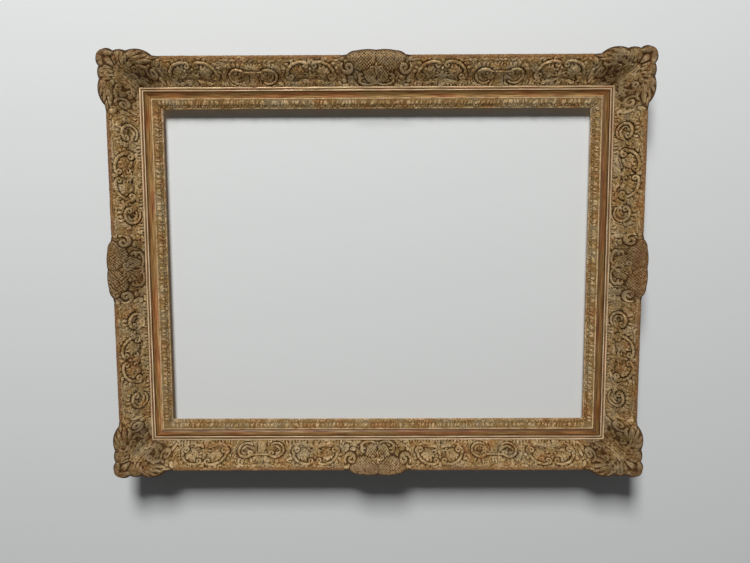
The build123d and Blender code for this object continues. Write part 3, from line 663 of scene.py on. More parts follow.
def spiral(x, y, outer, inner, start, turns, hand=1, squash=1.0):
    """A volute from its outer radius in to its eye; angles in degrees, hand -1 for its mirror image."""
    k = np.linspace(0, 1, max(8, int(abs(turns) * 24)))
    angle = math.radians(start) + 2 * math.pi * turns * k
    r = outer * (inner / outer) ** k
    return np.stack([x + hand * r * np.cos(angle), y + squash * r * np.sin(angle)], -1)


def through(points, per=7):
    """A smooth line through a few points."""
    p = np.asarray(points, float)
    p = np.concatenate([[2 * p[0] - p[1]], p, [2 * p[-1] - p[-2]]])
    t = np.linspace(0, 1, per, endpoint=False)[:, None]
    parts = [0.5 * (2 * b + (c - a) * t + (2 * a - 5 * b + 4 * c - d) * t ** 2
                    + (3 * b - a - 3 * c + d) * t ** 3) for a, b, c, d in zip(p, p[1:], p[2:], p[3:])]
    return np.concatenate([*parts, p[-2:-1]])


carver = np.random.default_rng(5)


def leaf(block, base, tip, width, height, ribs=3, bend=0.0):
    """A pointed leaf with ribs, bent sideways by a share of its length and never twice quite the same."""
    base, tip = np.asarray(base, float), np.asarray(tip, float) + carver.normal(0, 0.5, 2)
    side = np.array([-(tip - base)[1], (tip - base)[0]]) * bend
    carve(block, through([base, (base + tip) / 2 + side, tip], 5),
          width * carver.uniform(0.85, 1.15) * np.array([0.5, 0.9, 1.0, 0.8, 0.25]),
          height * np.array([0.7, 1.0, 1.0, 0.85, 0.5]), reeds=ribs, trench=1.3, depth=1.3)


def ring_scroll(block, x, y, hand):
    """A round scroll: a C open on one side, whose upper end hooks in, round a smooth fluted cup."""
    ring_radius, cup_radius, hook_radius, outer_radius = 13.5, 12.5, 5.0, 18.2
    for way in (-1, 1):
        for k in range(3):
            leaf(block, (x + way * (12 + k * 2), y + 12 - k * 4.5),
                 (x + way * (15 + k * 3), y + 22 - k * 5), 3.0, 1.5, 2, -way * 0.18)
    for k in (-1.2, -0.4, 0.4, 1.2):
        leaf(block, (x + 6 * k, y + 15), (x + 9 * k, y + 25 - 2 * abs(k)), 3.0, 1.5, 2, -0.15 * k)
    east, north = block["a"][:, None] - x, block["b"][None, :] - y
    away = np.hypot(east, north)
    flutes = np.cos(11 * np.arctan2(north + 9, east + hand * 5))
    cup = 1.0 - 1.5 * np.clip(1 - (away / cup_radius) ** 2, 0, 1) + 0.2 * flutes
    block["h"] = np.where(away < ring_radius, cup, block["h"])
    outer = spiral(x, y, outer_radius, 17.4, -70, -0.3, hand)
    carve(block, outer, (0.8, 1.4, 0.8), (1.3, 1.7, 1.3), trench=1.3)
    ring = spiral(x, y, ring_radius, 12.9, -50, -0.74, hand)
    hook = spiral(x + hand * 5.8, y + 5.2, hook_radius, 1.7, 55, -0.85, hand)
    carve(block, np.concatenate([ring, hook[1:]]), (1.6, 2.2, 2.4, 2.3, 2.0, 1.5), (2.0, 2.5, 2.6, 2.5, 2.3),
          hollow=0.35, trench=4.6, depth=2.8)


def scroll_link(block, x0, x1, y):
    """The bar between two round scrolls, with a smooth shield hanging under it and a spray above."""
    middle = (x0 + x1) / 2
    for k in (-2, -1, 0, 1, 2):
        leaf(block, (middle + 2.2 * k, y + 12), (middle + 5.2 * k, y + 24 - abs(k) * 2.2), 2.9, 1.9, 2,
             -0.08 * k)
    carve(block, [(middle, y + 5), (middle, y - 16)], (5.5, 6.0, 8.5), (1.9, 1.7, 1.5))
    carve(block, [(x0 - 2, y + 9.0), (x1 + 2, y + 9.0)], 1.9, 2.4)


# The leaves of one half of a palmette, from the middle of its foot: base, tip, width, height, ribs and bend.
OUTER_LEAVES = [((38, 3), (45, 5)), ((38, 8), (44, 13)), ((34, 14), (39, 20.5)), ((28, 18), (31, 25)),
                ((21, 21), (23, 28)), ((14, 22), (14, 28.5))]
FAN_FOOT = (24, -6)
FAN_LEAVES = [((31, 9), 3.8), ((27.5, 14), 4.6), ((21.5, 17), 5.0), ((14.5, 15.5), 5.0), ((10.5, 9.5), 4.4),
              ((11.5, 3), 3.6)]
FOOT_LEAVES = [((2, -6), (15, -1), 4.2, 2.3, 3, 0.25), ((3, -9), (20, -11), 4.4, 2.2, 3, -0.2),
               ((16, -12), (28, -16), 3.6, 1.9, 2, -0.15), ((7, -13), (11, -20), 3.4, 1.7, 2, 0.1),
               ((29, -15), (40, -15), 3.4, 1.8, 2, 0.2)]
MIDDLE_LEAVES = [(-9, 8, 4.0, 2.6, 3), (-9, -20, 3.8, 1.9, 2), (19, 28, 3.2, 2.0, 2)]


def palmette(block, x, y):
    """Two leafy scrolls back to back: each rises from a volute and curls in, round a fan of leaves."""
    foot = spiral(32.5, -3.5, 8.0, 1.8, 65, -1.4)[::-1]
    crown = spiral(8.0, 16.5, 5.6, 1.6, 80, 1.0)
    rise = through([foot[-1], (36, 8.5), (28.5, 18), (17, 22.3), crown[0]])
    stem = np.concatenate([foot, rise[1:], crown[1:]])
    for hand in (-1, 1):
        def spot(place):
            return np.array([x, y]) + np.array([hand, 1]) * place
        for base, tip in OUTER_LEAVES:
            leaf(block, spot(base), spot(tip), 3.4, 1.5, 2, hand * 0.15)
        for tip, width in FAN_LEAVES:
            leaf(block, spot(FAN_FOOT), spot(tip), width, 2.2, 3, hand * 0.06)
        carve(block, spot(stem), (1.5, 2.0, 2.4, 2.4, 2.3, 2.0, 1.5), (2.0, 2.5, 2.6, 2.5, 2.4, 2.2),
              hollow=0.4, trench=3.8, depth=2.6)
        for base, tip, width, height, ribs, bend in FOOT_LEAVES:
            leaf(block, spot(base), spot(tip), width, height, ribs, hand * bend)
        swell(block, *spot((9.5, 0.5)), 2.8, 2.4, -2.6, 0.7)
    for base, tip, width, height, ribs in MIDDLE_LEAVES:
        leaf(block, (x, y + base), (x, y + tip), width, height, ribs)
    carve(block, [(x, y + 11), (x + 0.05, y + 11)], 2.5, 2.6, trench=0.9)


def ground_and_lip(block, seed):
    """Lightly hatched ground, leaf tips along the inner edge and worn leafage along the lip."""
    rng = np.random.default_rng(seed)
    first, last, b = block["a"][0] - 4, block["a"][-1] + 4, block["b"][None, :]
    hatch(block, GROUND_PITCH, GROUND_DEPTH, np.clip((b - 8) / 2, 0, 1) * np.clip((44 - b) / 2, 0, 1))
    place = first
    while place < last:
        leaf(block, (place, 0.8), (place + rng.uniform(-3, 3), rng.uniform(7, 11)), rng.uniform(1.9, 2.7),
             rng.uniform(1.2, 1.9), 2)
        place += rng.uniform(4.2, 6.2)
    place = first
    while place < last:
        leaf(block, (place, 47 + rng.uniform(-1, 2)), (place + rng.uniform(6, 12), rng.uniform(44, 48)),
             rng.uniform(1.6, 2.6), rng.uniform(0.6, 1.2), 2, rng.uniform(-0.2, 0.2))
        place += rng.uniform(5, 12)


def weathered(block, seed):
    """Rubs the carving down, more in some places than in others, makes it uneven as hand tools do, and gives
    its heights and how deep each place is cut."""
    rng = np.random.default_rng(seed)
    h = soften(block["h"], 0.6)
    worn = soften(rng.normal(0, 1, h.shape), 9)
    share = np.clip(block["wear"] + 0.22 * worn / worn.std(), 0, 0.8)
    h = h * (1 - share) + soften(h, 2.4) * share
    for cells, amount in ((0.9, 0.13), (2.2, 0.2)):
        rough = soften(rng.normal(0, 1, h.shape), cells)
        h = h + amount * rough / rough.std()
    # The cut paints shade in the hollows and highlight on the crests.
    cut = h - soften(h, FINE_CUT) + BROAD_SHARE * (h - soften(h, BROAD_CUT))
    return RELIEF * h, np.clip(cut, -1, PALEST)


# Where the ring scrolls and the palmettes stand, from the middle of a long and of a short side.
RUN_ORNAMENT = {"level": ((173.0, 222.0), (105.0, 293.0)), "upright": ((88.5, 220.0), (151.0,))}
RUN_NAMES = {"top": ("right", "left"), "right": ("lower", "upper"), "bottom": ("left", "right"),
             "left": ("upper", "lower")}
RING_LINE, PALMETTE_LINE, LINK_SPAN, LINK_INSET = 18.5, 22.0, 60.0, 14.0
face = band_face()
girth = run_length(face)
across_face = np.linspace(0, girth[-1], int(girth[-1] / GRID))
face_place = np.stack([np.interp(across_face, girth, face[:, k]) for k in (0, 1)], -1)
slope = np.gradient(face_place, axis=0)
face_normal = np.stack([-slope[:, 1], slope[:, 0]], -1) / np.hypot(*slope.T)[:, None]
run_back = np.array([(RAIL_OUTER + 1.5, SEAT_OUTER - 1.0), (RAIL_OUTER, SEAT_OUTER - 2),
                     (RAIL_OUTER, SEAT_OUTER), (BAND_START, SEAT_INNER)])
run_fade = np.clip((girth[-1] - across_face) / RUN_NOSE, 0, 1) * np.clip(across_face, 0, 1)
run_lip = np.clip((across_face - RUN_LIP) / RUN_LIP_WIDTH, 0, 1)
for number, (side, (along, _, turn)) in enumerate(SIDES.items()):
    rings, palmettes = RUN_ORNAMENT["upright" if turn % 180 else "level"]
    for hand, label in zip((1, -1), RUN_NAMES[side]):
        seed = 10 * number + hand + 1
        rng = np.random.default_rng(seed)
        end = along / 2 - CORNER_END
        block = blank(np.linspace(CENTRE_HALF, end, int((end - CENTRE_HALF) / GRID)), across_face,
                      seed + BITE_SEED)
        ground_and_lip(block, seed)
        for x in palmettes:
            palmette(block, x + rng.uniform(-0.6, 0.6), PALMETTE_LINE + rng.uniform(-0.5, 0.5))
        for x, open_side in zip(rings, (1, -1)):
            ring_scroll(block, x + rng.uniform(-0.6, 0.6), RING_LINE, open_side)
        if rings[1] - rings[0] < LINK_SPAN:
            scroll_link(block, rings[0] + LINK_INSET, rings[1] - LINK_INSET, RING_LINE)
        h, cut = weathered(block, seed + WORN_SEED)
        h = h * run_fade
        u, d = (np.concatenate([face_place[:, k] + h * face_normal[:, k],
                                np.tile(run_back[:, k], (len(h), 1))], 1) for k in (0, 1))
        s = np.broadcast_to(hand * block["a"][:, None], u.shape)
        behind = ((0, 0), (0, len(run_back)))
        # The finish's fields: the cut, which paints shade and highlight, the bole at the lip, and how much
        # darker the run is made.
        tones = {"cut": np.pad(cut, behind, constant_values=BACK_CUT),
                  "bole": np.pad(np.broadcast_to(run_lip, h.shape), behind, constant_values=1.0),
                  "soot": np.full(u.shape, RUN_DARKENING[side] + (LOWER_RUN_DARKENING if label == "lower" else 0))}
        run = make_piece(f"{side}_{label}_carving", patinated_gilding, on_side(side, s, u, d).reshape(-1, 3),
                         tube_faces(*u.shape), tones, CARVED_CREASE)
        fix_to_frame(run, "patinated_gilding", f"{side}_{label}_carved_run")

# Centre cartouches
# A raised block of lime wood at the middle of each side, its outer edge rounded like two shells. Carved with
# a lattice, a broad volute at each end and a bracket of two C-scrolls below; glued on the rail.
CARTOUCHE_RISE, RISE_WIDTH, EDGE_ROLL, EDGE_DROP, EDGE_FADE = 4.0, 16.0, 6.0, 4.0, 4.0
# How dark painted shade makes the rolled rim and how far in it reaches, how far the bole shows there, and how
# much darker each side's cartouche is made.
RIM_SHADE, RIM_SHADE_WIDTH, RIM_BOLE_WIDTH = 0.9, 6.5, 6.0
CENTRE_DARKENING = {"top": 0.05, "right": 0.38, "bottom": 0.2, "left": 0.44}
CENTRE_BOLE = {"top": 0.5, "right": 0.9, "bottom": 0.6, "left": 0.5}
# How far the lattice wanders from its lines, in millimetres.
RUFFLE = {"top": 1.4, "right": 1.4, "bottom": 1.4, "left": 4.0}
# The cartouches' cuts paint shade and highlight more strongly than the runs'.
DEEPER_CUT = 1.8
CENTRE_SHOULDER, CENTRE_CROWN, SHOULDER_REACH, CENTRE_PEAK, CENTRE_NOTCH = 46.0, 31.0, 5.8, 7.8, 6.8
CENTRE_OVERHANG, NOTCH_HEADING = 9.0, 225
CENTRE_END, END_FADE, BOLE_FROM, BOLE_FADE, DARKENING_FROM, DARKENING_FADE = 12.0, 14.0, 30.0, 20.0, 48.0, 12.0
CENTRE_BITE_SEED, CENTRE_WORN_SEED = 500, 200


def bow(start, middle, end, count=24):
    """Points of the circular arc through three places."""
    (ax, ay), (bx, by), (cx, cy) = start, middle, end
    k = 2 * (ax * (by - cy) + bx * (cy - ay) + cx * (ay - by))
    a2, b2, c2 = ax ** 2 + ay ** 2, bx ** 2 + by ** 2, cx ** 2 + cy ** 2
    ox = (a2 * (by - cy) + b2 * (cy - ay) + c2 * (ay - by)) / k
    oy = (a2 * (cx - bx) + b2 * (ax - cx) + c2 * (bx - ax)) / k
    first, mid, last = (math.atan2(y - oy, x - ox) for x, y in (start, middle, end))
    way = (mid - first + math.pi) % (2 * math.pi) - math.pi
    total = (last - first) % (2 * math.pi) if way > 0 else -((first - last) % (2 * math.pi))
    angle = first + np.linspace(0, total, count)
    radius = math.hypot(ax - ox, ay - oy)
    return np.stack([ox + radius * np.cos(angle), oy + radius * np.sin(angle)], -1)


def eased_step(k):
    """0 to 1 as k goes from 0 to 1, level at both ends."""
    k = np.clip(k, 0, 1)
    return k * k * (3 - 2 * k)


def cut_to_rim(block, rim, closing):
    """Cuts a block to the outline that rim and closing make together. Gives the places of its cells, with
    those outside moved to the rim, how far each is from the rim, and which are within."""
    outline = np.concatenate([rim, closing])
    a, b = np.meshgrid(block["a"], block["b"], indexing="ij")
    within = np.zeros(a.shape, bool)
    for (x0, y0), (x1, y1) in zip(outline, np.roll(outline, -1, 0)):
        if y0 != y1:
            within ^= ((y0 > b) != (y1 > b)) & (a < (x1 - x0) * (b - y0) / (y1 - y0) + x0)
    far, near_a, near_b = np.full(a.shape, 1e9), a.copy(), b.copy()
    for (x0, y0), (x1, y1) in zip(rim[:-1], rim[1:]):
        dx, dy = x1 - x0, y1 - y0
        t = np.clip(((a - x0) * dx + (b - y0) * dy) / max(dx ** 2 + dy ** 2, 1e-9), 0, 1)
        px, py = x0 + t * dx, y0 + t * dy
        away = np.hypot(a - px, b - py)
        closer = away < far
        far, near_a, near_b = (np.where(closer, new, old)
                               for new, old in ((away, far), (px, near_a), (py, near_b)))
    return np.where(within, a, near_a), np.where(within, b, near_b), np.where(within, far, 0), within


def mount_block(name, node, block, seed, cells, plain, bole, soot, seat, centre, place, keep=True):
    """Rolls a block's edge over, closes it down to its seat on the rails and fixes it there.

    cells is what cut_to_rim gives, plain the face before carving, bole how far it shows and darkening how far
    the place is darkened, seat the places under the edge, centre the middle of the foot, place what turns
    places into metres, and keep the cells that stay. Painted shade darkens the rim, and the cuts paint shade
    and highlight more strongly here."""
    a, b, edge, within = cells
    h, cut = weathered(block, seed)
    roll = 1 - np.sqrt(1 - (1 - np.clip(edge / EDGE_ROLL, 0, 1)) ** 2)
    d = plain + h * np.clip(edge / EDGE_FADE, 0, 1) - EDGE_DROP * roll
    used_cells = (within[:-1, :-1] | within[1:, :-1] | within[1:, 1:] | within[:-1, 1:]) & keep
    quads = grid_quads(np.arange(a.size).reshape(a.shape))[used_cells]
    edges = np.concatenate([quads[:, [k, (k + 1) % 4]] for k in range(4)])
    code, back = edges[:, 0] * a.size + edges[:, 1], edges[:, 1] * a.size + edges[:, 0]
    bounds = edges[~np.isin(code, back)]
    used, quads = np.unique(quads, return_inverse=True)
    ring = np.unique(bounds)
    top, under = np.searchsorted(used, bounds), np.searchsorted(ring, bounds) + len(used)
    skirt = np.stack([top[:, 0], under[:, 0], under[:, 1], top[:, 1]], -1)
    middle = np.full(len(under), len(used) + len(ring))
    floor = np.stack([under[:, 0], middle, under[:, 1]], -1)
    verts = [place(*(v.ravel()[used] for v in (a, b, d))), place(*seat(*(v.ravel()[ring] for v in (a, b)))),
             place(*seat(*(np.array([v]) for v in centre)))]
    bole = np.maximum(bole, np.clip(1.3 - edge / RIM_BOLE_WIDTH, 0, 1))
    # Painted shade: darker along the rim where the edge rolls down to the rail.
    soot = np.maximum(soot, RIM_SHADE * np.clip(1.2 - edge / RIM_SHADE_WIDTH, 0, 1))
    # The cuts paint shade and highlight more strongly here, and the skirt under the rim is painted dark as
    # shade.
    fields = {key: np.concatenate([values.ravel()[used], np.full(len(ring) + 1, below)])
              for key, values, below in (("cut", DEEPER_CUT * cut, BACK_CUT), ("bole", bole, 1.0),
                                         ("soot", soot, 0.0))}
    obj = make_piece(name, patinated_gilding, np.concatenate(verts), [quads.reshape(-1, 4), skirt, floor],
                     fields, CARVED_CREASE)
    fix_to_frame(obj, "patinated_gilding", node)


def face_at(u):
    """Height of the plain ogee at u, carried on level past its crest."""
    rising = face[face[:, 0] <= RIM - BAND_NOSE + 0.01]
    return np.interp(u, rising[:, 0], rising[:, 1])


def seat_at(u):
    """Height of the sloping seat of the rails at u."""
    return np.interp(u, [BAND_START, RAIL_OUTER], [SEAT_INNER, SEAT_OUTER - 1])


# The leaves of one half, base and tip, and the three lattice shells: middle, half sizes and rise.
CENTRE_LEAVES = [((33, 36), (43, 38)), ((36, 33), (47, 33)), ((30, 38), (36, 40)), ((45, 38), (54, 37)),
                 ((49, 33), (55, 30)), ((52, 8), (56, 3)), ((38, 29), (46, 27)), ((50, 29), (55, 24))]
LATTICE_SHELLS = [(0, 23, 21, 15, 0.4), (-22.5, 3.5, 24, 18, 1.2), (22.5, 3.5, 24, 18, 1.2)]
LATTICE_PITCH, LATTICE_DEPTH, LATTICE_SLANT, SCROLL_SQUASH = 4.6, 1.7, 1.15, 0.74


def centre_relief(block, ruffle):
    """Drawn along the rail and inwards from its edge; ruffle is how far the lattice wanders."""
    hatch(block, GROUND_PITCH, GROUND_DEPTH)
    for hand in (-1, 1):
        for base, tip in CENTRE_LEAVES:
            leaf(block, np.multiply(base, (hand, 1)), np.multiply(tip, (hand, 1)), 3.3, 1.8, 3, hand * 0.15)
    a = block["a"][:, None] + ruffle * block["bite"]
    b = block["b"][None, :] + ruffle * block["bite"][::-1]
    score = np.minimum(*(np.abs(((a + way * b * LATTICE_SLANT) / LATTICE_PITCH) % 1 - 0.5)
                         for way in (1, -1)))
    lattice = LATTICE_DEPTH - LATTICE_DEPTH * np.clip(1 - score / 0.26, 0, 1)
    for x, y, rx, ry, rise in LATTICE_SHELLS:
        away = np.sqrt(from_middle(block, x, y, rx, ry))
        shell = lattice + rise * np.clip(1 - away ** 2, 0, 1)
        block["h"] = np.where(away < 1, shell, block["h"])
        block["h"] -= 1.5 * (block["bite"] - 0.2) * np.exp(-((away - 1) * ry / 0.9) ** 2)
    volute = spiral(44.5, 18, 12.0, 2.2, -40, 1.4, 1, SCROLL_SQUASH)
    eye = spiral(23.5, 28.5, 5.0, 1.6, 60, -1.1, 1, SCROLL_SQUASH)[::-1]
    bracket = np.concatenate([eye, through([eye[-1], (28, 34), (21, 37.4), (12, 38.2), (4, 36.5)])[1:]])
    curl = spiral(7, 20.5, 4.6, 1.5, 200, 1.0, 1, SCROLL_SQUASH)
    for hand in (-1, 1):
        carve(block, volute * [hand, 1], (1.5, 2.4, 2.5, 2.1, 1.5), (2.2, 2.8, 2.8, 2.6, 2.3), hollow=0.35,
              trench=3.6, depth=2.8)
        carve(block, bracket * [hand, 1], (1.3, 1.7, 1.9, 1.7, 1.2), (2.0, 2.2, 2.2, 1.8), hollow=0.4,
              trench=1.6)
        swell(block, hand * 21.5, 27.6, 2.6, 2.2, -2.4, 0.7)
        carve(block, curl * [hand, 1], (1.5, 1.2), (2.3, 2.1), trench=1.4)
        leaf(block, (hand * 1.5, 33), (hand * 9, 27), 2.6, 2.3, 2, hand * 0.1)
    leaf(block, (0, 26), (0, 12), 2.8, 2.5, 3)
    swell(block, 0.5, 30, 2.0, 3.2, -2.4, 0.7)


def centre_face(a, b):
    """The ogee, raised over the middle of the cartouche and level with the runs at its ends."""
    rise = eased_step((CARVED_BAND - b) / RISE_WIDTH) * eased_step((CENTRE_HALF - np.abs(a)) / CENTRE_END)
    return face_at(RIM - b) + CARTOUCHE_RISE * rise


def centre_seat(a, b):
    """Where the edge comes down on the rail, drawn in over its outer side, and the height there."""
    b = np.maximum(b, RIM - RAIL_OUTER)
    return a, b, seat_at(RIM - b)


shoulder = (CENTRE_CROWN, -SHOULDER_REACH)
right_rim = np.concatenate([[(CENTRE_HALF + 1, 0)], arc((CENTRE_SHOULDER, 0), shoulder, NOTCH_HEADING, 14),
                            bow(shoulder, (CENTRE_CROWN / 2, -CENTRE_PEAK), (0, -CENTRE_NOTCH))[1:]])
centre_rim = np.concatenate([right_rim, (right_rim * [-1, 1])[-2::-1]])
centre_closing = np.array([(-CENTRE_HALF - 1, CARVED_BAND + 1), (CENTRE_HALF + 1, CARVED_BAND + 1)])
centre_lines = (np.linspace(-CENTRE_HALF, CENTRE_HALF, int(2 * CENTRE_HALF / GRID)),
                np.linspace(-CENTRE_OVERHANG, CARVED_BAND, int((CARVED_BAND + CENTRE_OVERHANG) / GRID)))
for number, side in enumerate(SIDES):
    def centre_place(a, b, d):
        return on_side(side, a, RIM - b, d)

    block = blank(*centre_lines, CENTRE_BITE_SEED + number)
    centre_relief(block, RUFFLE[side])
    cells = cut_to_rim(block, centre_rim, centre_closing)
    a, b = cells[:2]
    ends = eased_step((CENTRE_HALF - np.abs(a)) / END_FADE)
    bole = CENTRE_BOLE[side] * eased_step((BOLE_FROM - b) / BOLE_FADE) * ends
    # How much darker each cartouche is made, fading at its inner edge and its ends.
    soot = CENTRE_DARKENING[side] * eased_step((DARKENING_FROM - b) / DARKENING_FADE) * ends
    mount_block(f"{side}_centre_carving", f"{side}_centre_cartouche", block, CENTRE_WORN_SEED + number, cells,
                centre_face(a, b), bole, soot, centre_seat, (0, CARVED_BAND / 2), centre_place)

# Corner cartouches
# A raised block over each mitre: two rolled leaves meet at the tip, then a round lobe and a long reeded leaf
# on each arm, and a smooth shield with small scrolls on the mitre. Carved from lime wood and glued over both
# rails.
TIP_REACH, TIP_LENGTH, LOBE_LENGTH, LOBE_REACH = 10.6, 15.5, 20.0, 9.8
LEAF_REACH, NOTCH_REACH, LEAF_END, CORNER_OVERHANG = 10.4, 7.6, 76.5, 13.0
# How much painted shade darkens each corner cartouche.
CORNER_SHADE = {"top_left": 0.48, "top_right": 0.52, "bottom_left": 0.54, "bottom_right": 0.6}
CORNER_WEAR, MITRE_ROUND, CORNER_MIDDLE = 0.45, 0.5, (15, 15)
CORNER_BITE_SEED, CORNER_WORN_SEED = 600, 300
SHIELD, SHIELD_RADIUS, ARM_END, ARM_FADE = 28, 17, 14.0, 30.0
# The painted shade is lighter round a middle of the shield, and the bole shows round the tip.
LESS_SHADE_MIDDLE, LESS_SHADE_SPREAD, LESS_SHADE_SHARE = 27, 260, 0.7
TIP_BOLE, TIP_BOLE_INSET, TIP_BOLE_WIDTH = 0.95, 3, 15

# The leaves of one arm, base and tip, drawn inwards from both outer edges.
END_LEAVES = [((84, 36), (78, 26), 3.6), ((87, 30), (84, 20), 3.4), ((80, 38), (70, 34), 3.4),
              ((72, 38), (60, 39), 3.2), ((60, 38), (49, 39), 3.0), ((82, 14), (88, 6), 3.4),
              ((70, 5), (85, 3), 3.2), ((60, 30), (50, 34), 3.2), ((60, 21), (52, 27), 3.2)]
SHIELD_LEAVES = [((43, 14), (34, 13)), ((45, 28), (35, 24)), ((40, 35), (33, 31)), ((51, 17), (57, 24)),
                 ((53, 12), (60, 18)), ((46, 9), (38, 15)), ((49, 36), (42, 30))]
LONG_LEAVES = [((50, 15), (68, 18), 3.0), ((46, 11), (76, 9), 3.6), ((42, 8), (72, 0), 3.8),
               ((39, 5), (62, -6), 3.8), ((37, 3), (51, -8), 3.6)]
LOBE_LEAVES = [((35, 11), (37, -2)), ((30, 14), (32, -6)), ((24, 14), (25, -7)), ((19, 12), (18, -6))]


def oval(block, x, y, rx, ry, soft=0.3):
    """A mask that is 1 inside an oval and fades to 0 at its edge."""
    return np.clip((1 - from_middle(block, x, y, rx, ry)) / soft, 0, 1)


def corner_relief(block):
    """Drawn with both lines inwards from the straight outer edges of the two rails."""
    def on_both_arms(tool, *places_and_sizes, places=1, **options):
        for way in (1, -1):
            drawn = [np.asarray(place, float)[..., ::way] for place in places_and_sizes[:places]]
            tool(block, *drawn, *places_and_sizes[places:], **options)

    hatch(block, GROUND_PITCH, 0.4)
    for base, tip, width in END_LEAVES:
        on_both_arms(leaf, base, tip, width, 2.0, 3, places=2)
    for mask in (oval(block, 71, 36, 6.5, 4.6), oval(block, 36, 71, 4.6, 6.5)):
        block["h"] = np.where(mask > 0, 1.6 * mask, block["h"])
        hatch(block, 2.2, 1.2, (mask > 0.3).astype(float))
    swell(block, SHIELD, SHIELD, SHIELD_RADIUS, SHIELD_RADIUS, 2.2, 0.4)
    strokes = np.cos((block["a"][:, None] - block["b"][None, :]) * 1.15 + block["bite"] * 3)
    block["h"] += 0.28 * strokes * oval(block, SHIELD, SHIELD, SHIELD_RADIUS, SHIELD_RADIUS)
    for curl in (spiral(53, 31, 4.8, 1.4, 60, 1.2), spiral(47, 20, 4.6, 1.4, 150, 1.1)):
        on_both_arms(carve, curl, (1.8, 1.6, 1.3, 1.1), (2.2, 2.1, 1.9), trench=1.5)
    for base, tip in SHIELD_LEAVES:
        on_both_arms(leaf, base, tip, 3.2, 2.2, 3, places=2)
    on_both_arms(carve, spiral(72, 24, 10.5, 2.0, -100, -1.5, 1, 0.85), (1.8, 2.2, 1.9, 1.5),
                 (2.4, 2.6, 2.4, 2.1), hollow=0.3)
    for base, tip, width in LONG_LEAVES:
        on_both_arms(leaf, base, tip, width, 3.2, 3, places=2)
    on_both_arms(carve, [(26, 3), (26, 4)], 10.4, 2.4, depth=1.5)
    for base, tip in LOBE_LEAVES:
        on_both_arms(leaf, base, tip, 3.3, 3.0, 2, places=2)
    for x, y in ((26, 2), (2, 26)):
        hatch(block, 2.7, 1.3, oval(block, x, y, 10, 10))
    on_both_arms(carve, through([(14, -2), (5, -3.5), (-5, -5)]), (4.6, 5.6, 6.0), (3.6, 4.2, 4.4),
                 hollow=0.12, depth=1.6)
    on_both_arms(carve, [(13.5, -2), (14, -2)], 3.2, 4.2, hollow=0.7)
    on_both_arms(leaf, (14, 14), (3, 6), 4.0, 3.0, 2, places=2)


def corner_face(a, b):
    """The ogees of both rails run together over the mitre, raised as on the centre cartouches."""
    inwards = -np.log(np.exp(-MITRE_ROUND * a) + np.exp(-MITRE_ROUND * b)) / MITRE_ROUND
    rise = eased_step((CARVED_BAND - inwards) / RISE_WIDTH) * eased_step(
        (CORNER_ARM - np.maximum(a, b)) / ARM_END)
    return face_at(RIM - np.minimum(inwards, CARVED_BAND)) + CARTOUCHE_RISE * rise


def corner_seat(a, b):
    """The same over a mitre, where the lower of the two seats counts."""
    a, b = np.maximum(a, RIM - RAIL_OUTER), np.maximum(b, RIM - RAIL_OUTER)
    return a, b, seat_at(RIM - np.minimum(a, b))


lobe_end = TIP_LENGTH + LOBE_LENGTH
arm_rim = np.concatenate([
    [(CORNER_ARM, 0)],
    bow((LEAF_END, 0), (lobe_end * 2 / 3 + LEAF_END / 3, -LEAF_REACH), (lobe_end, -NOTCH_REACH), 40),
    bow((lobe_end, -NOTCH_REACH), (TIP_LENGTH + LOBE_LENGTH / 2, -LOBE_REACH),
        (TIP_LENGTH, -NOTCH_REACH))[1:],
    arc((TIP_LENGTH, -NOTCH_REACH), (0, -TIP_REACH), NOTCH_HEADING, 14)[1:]])
tip_round = bow((0, -TIP_REACH), (-0.6 * TIP_REACH, -0.6 * TIP_REACH), (-TIP_REACH, 0), 20)[1:-1]
corner_rim = np.concatenate([arm_rim, tip_round, arm_rim[::-1, ::-1]])
corner_closing = np.array([(0, CORNER_ARM + 1), (CORNER_ARM + 1, CORNER_ARM + 1), (CORNER_ARM + 1, 0)])
corner_lines = np.concatenate([
    np.linspace(-CORNER_OVERHANG, CARVED_BAND, int((CARVED_BAND + CORNER_OVERHANG) / GRID)),
    np.linspace(CARVED_BAND, CORNER_ARM, int((CORNER_ARM - CARVED_BAND) / GRID))[1:]])
middles = (corner_lines[1:] + corner_lines[:-1]) / 2
corner_cells = np.minimum(*np.meshgrid(middles, middles, indexing="ij")) < CARVED_BAND
for number, corner in enumerate(CORNERS):
    def corner_place(a, b, d):
        return at_corner(corner, RIM - a, RIM - b, d)

    block = blank(corner_lines, corner_lines, CORNER_BITE_SEED + number, CORNER_WEAR)
    corner_relief(block)
    cells = cut_to_rim(block, corner_rim, corner_closing)
    a, b = cells[:2]
    from_less_shade = (a - LESS_SHADE_MIDDLE) ** 2 + (b - LESS_SHADE_MIDDLE) ** 2
    from_tip = np.hypot(a + TIP_BOLE_INSET, b + TIP_BOLE_INSET)
    bole = TIP_BOLE * np.clip(1.7 - from_tip / TIP_BOLE_WIDTH, 0, 1)
    # Painted shade over each corner, lighter round the middle of the shield and fading along the arms.
    corner_shade_share = 1 - LESS_SHADE_SHARE * np.exp(-from_less_shade / LESS_SHADE_SPREAD)
    soot = CORNER_SHADE[corner] * eased_step((CORNER_ARM - np.maximum(a, b)) / ARM_FADE) * corner_shade_share
    mount_block(f"{corner}_carving", f"{corner}_corner_cartouche", block, CORNER_WORN_SEED + number, cells,
                corner_face(a, b), bole, soot, corner_seat, CORNER_MIDDLE, corner_place, corner_cells)

# Hangers
# A strap of pressed steel on the back of each side rail, rolled round the wire of a D-shaped ring and held by
# two slotted screws. Thinly plated once, now dull grey with brown spots.
HANGER_X, HANGER_SCREWS, STRAP_FACE = 381.0, (155.0, 141.0), 3.5
HEAD_RADIUS, HEAD_HEIGHT, HEAD_FOOT, HEAD_CREASE = 3.0, 1.4, -0.1, 40
SLOT_WIDTH, SLOT_FLOOR = 0.8, 0.55

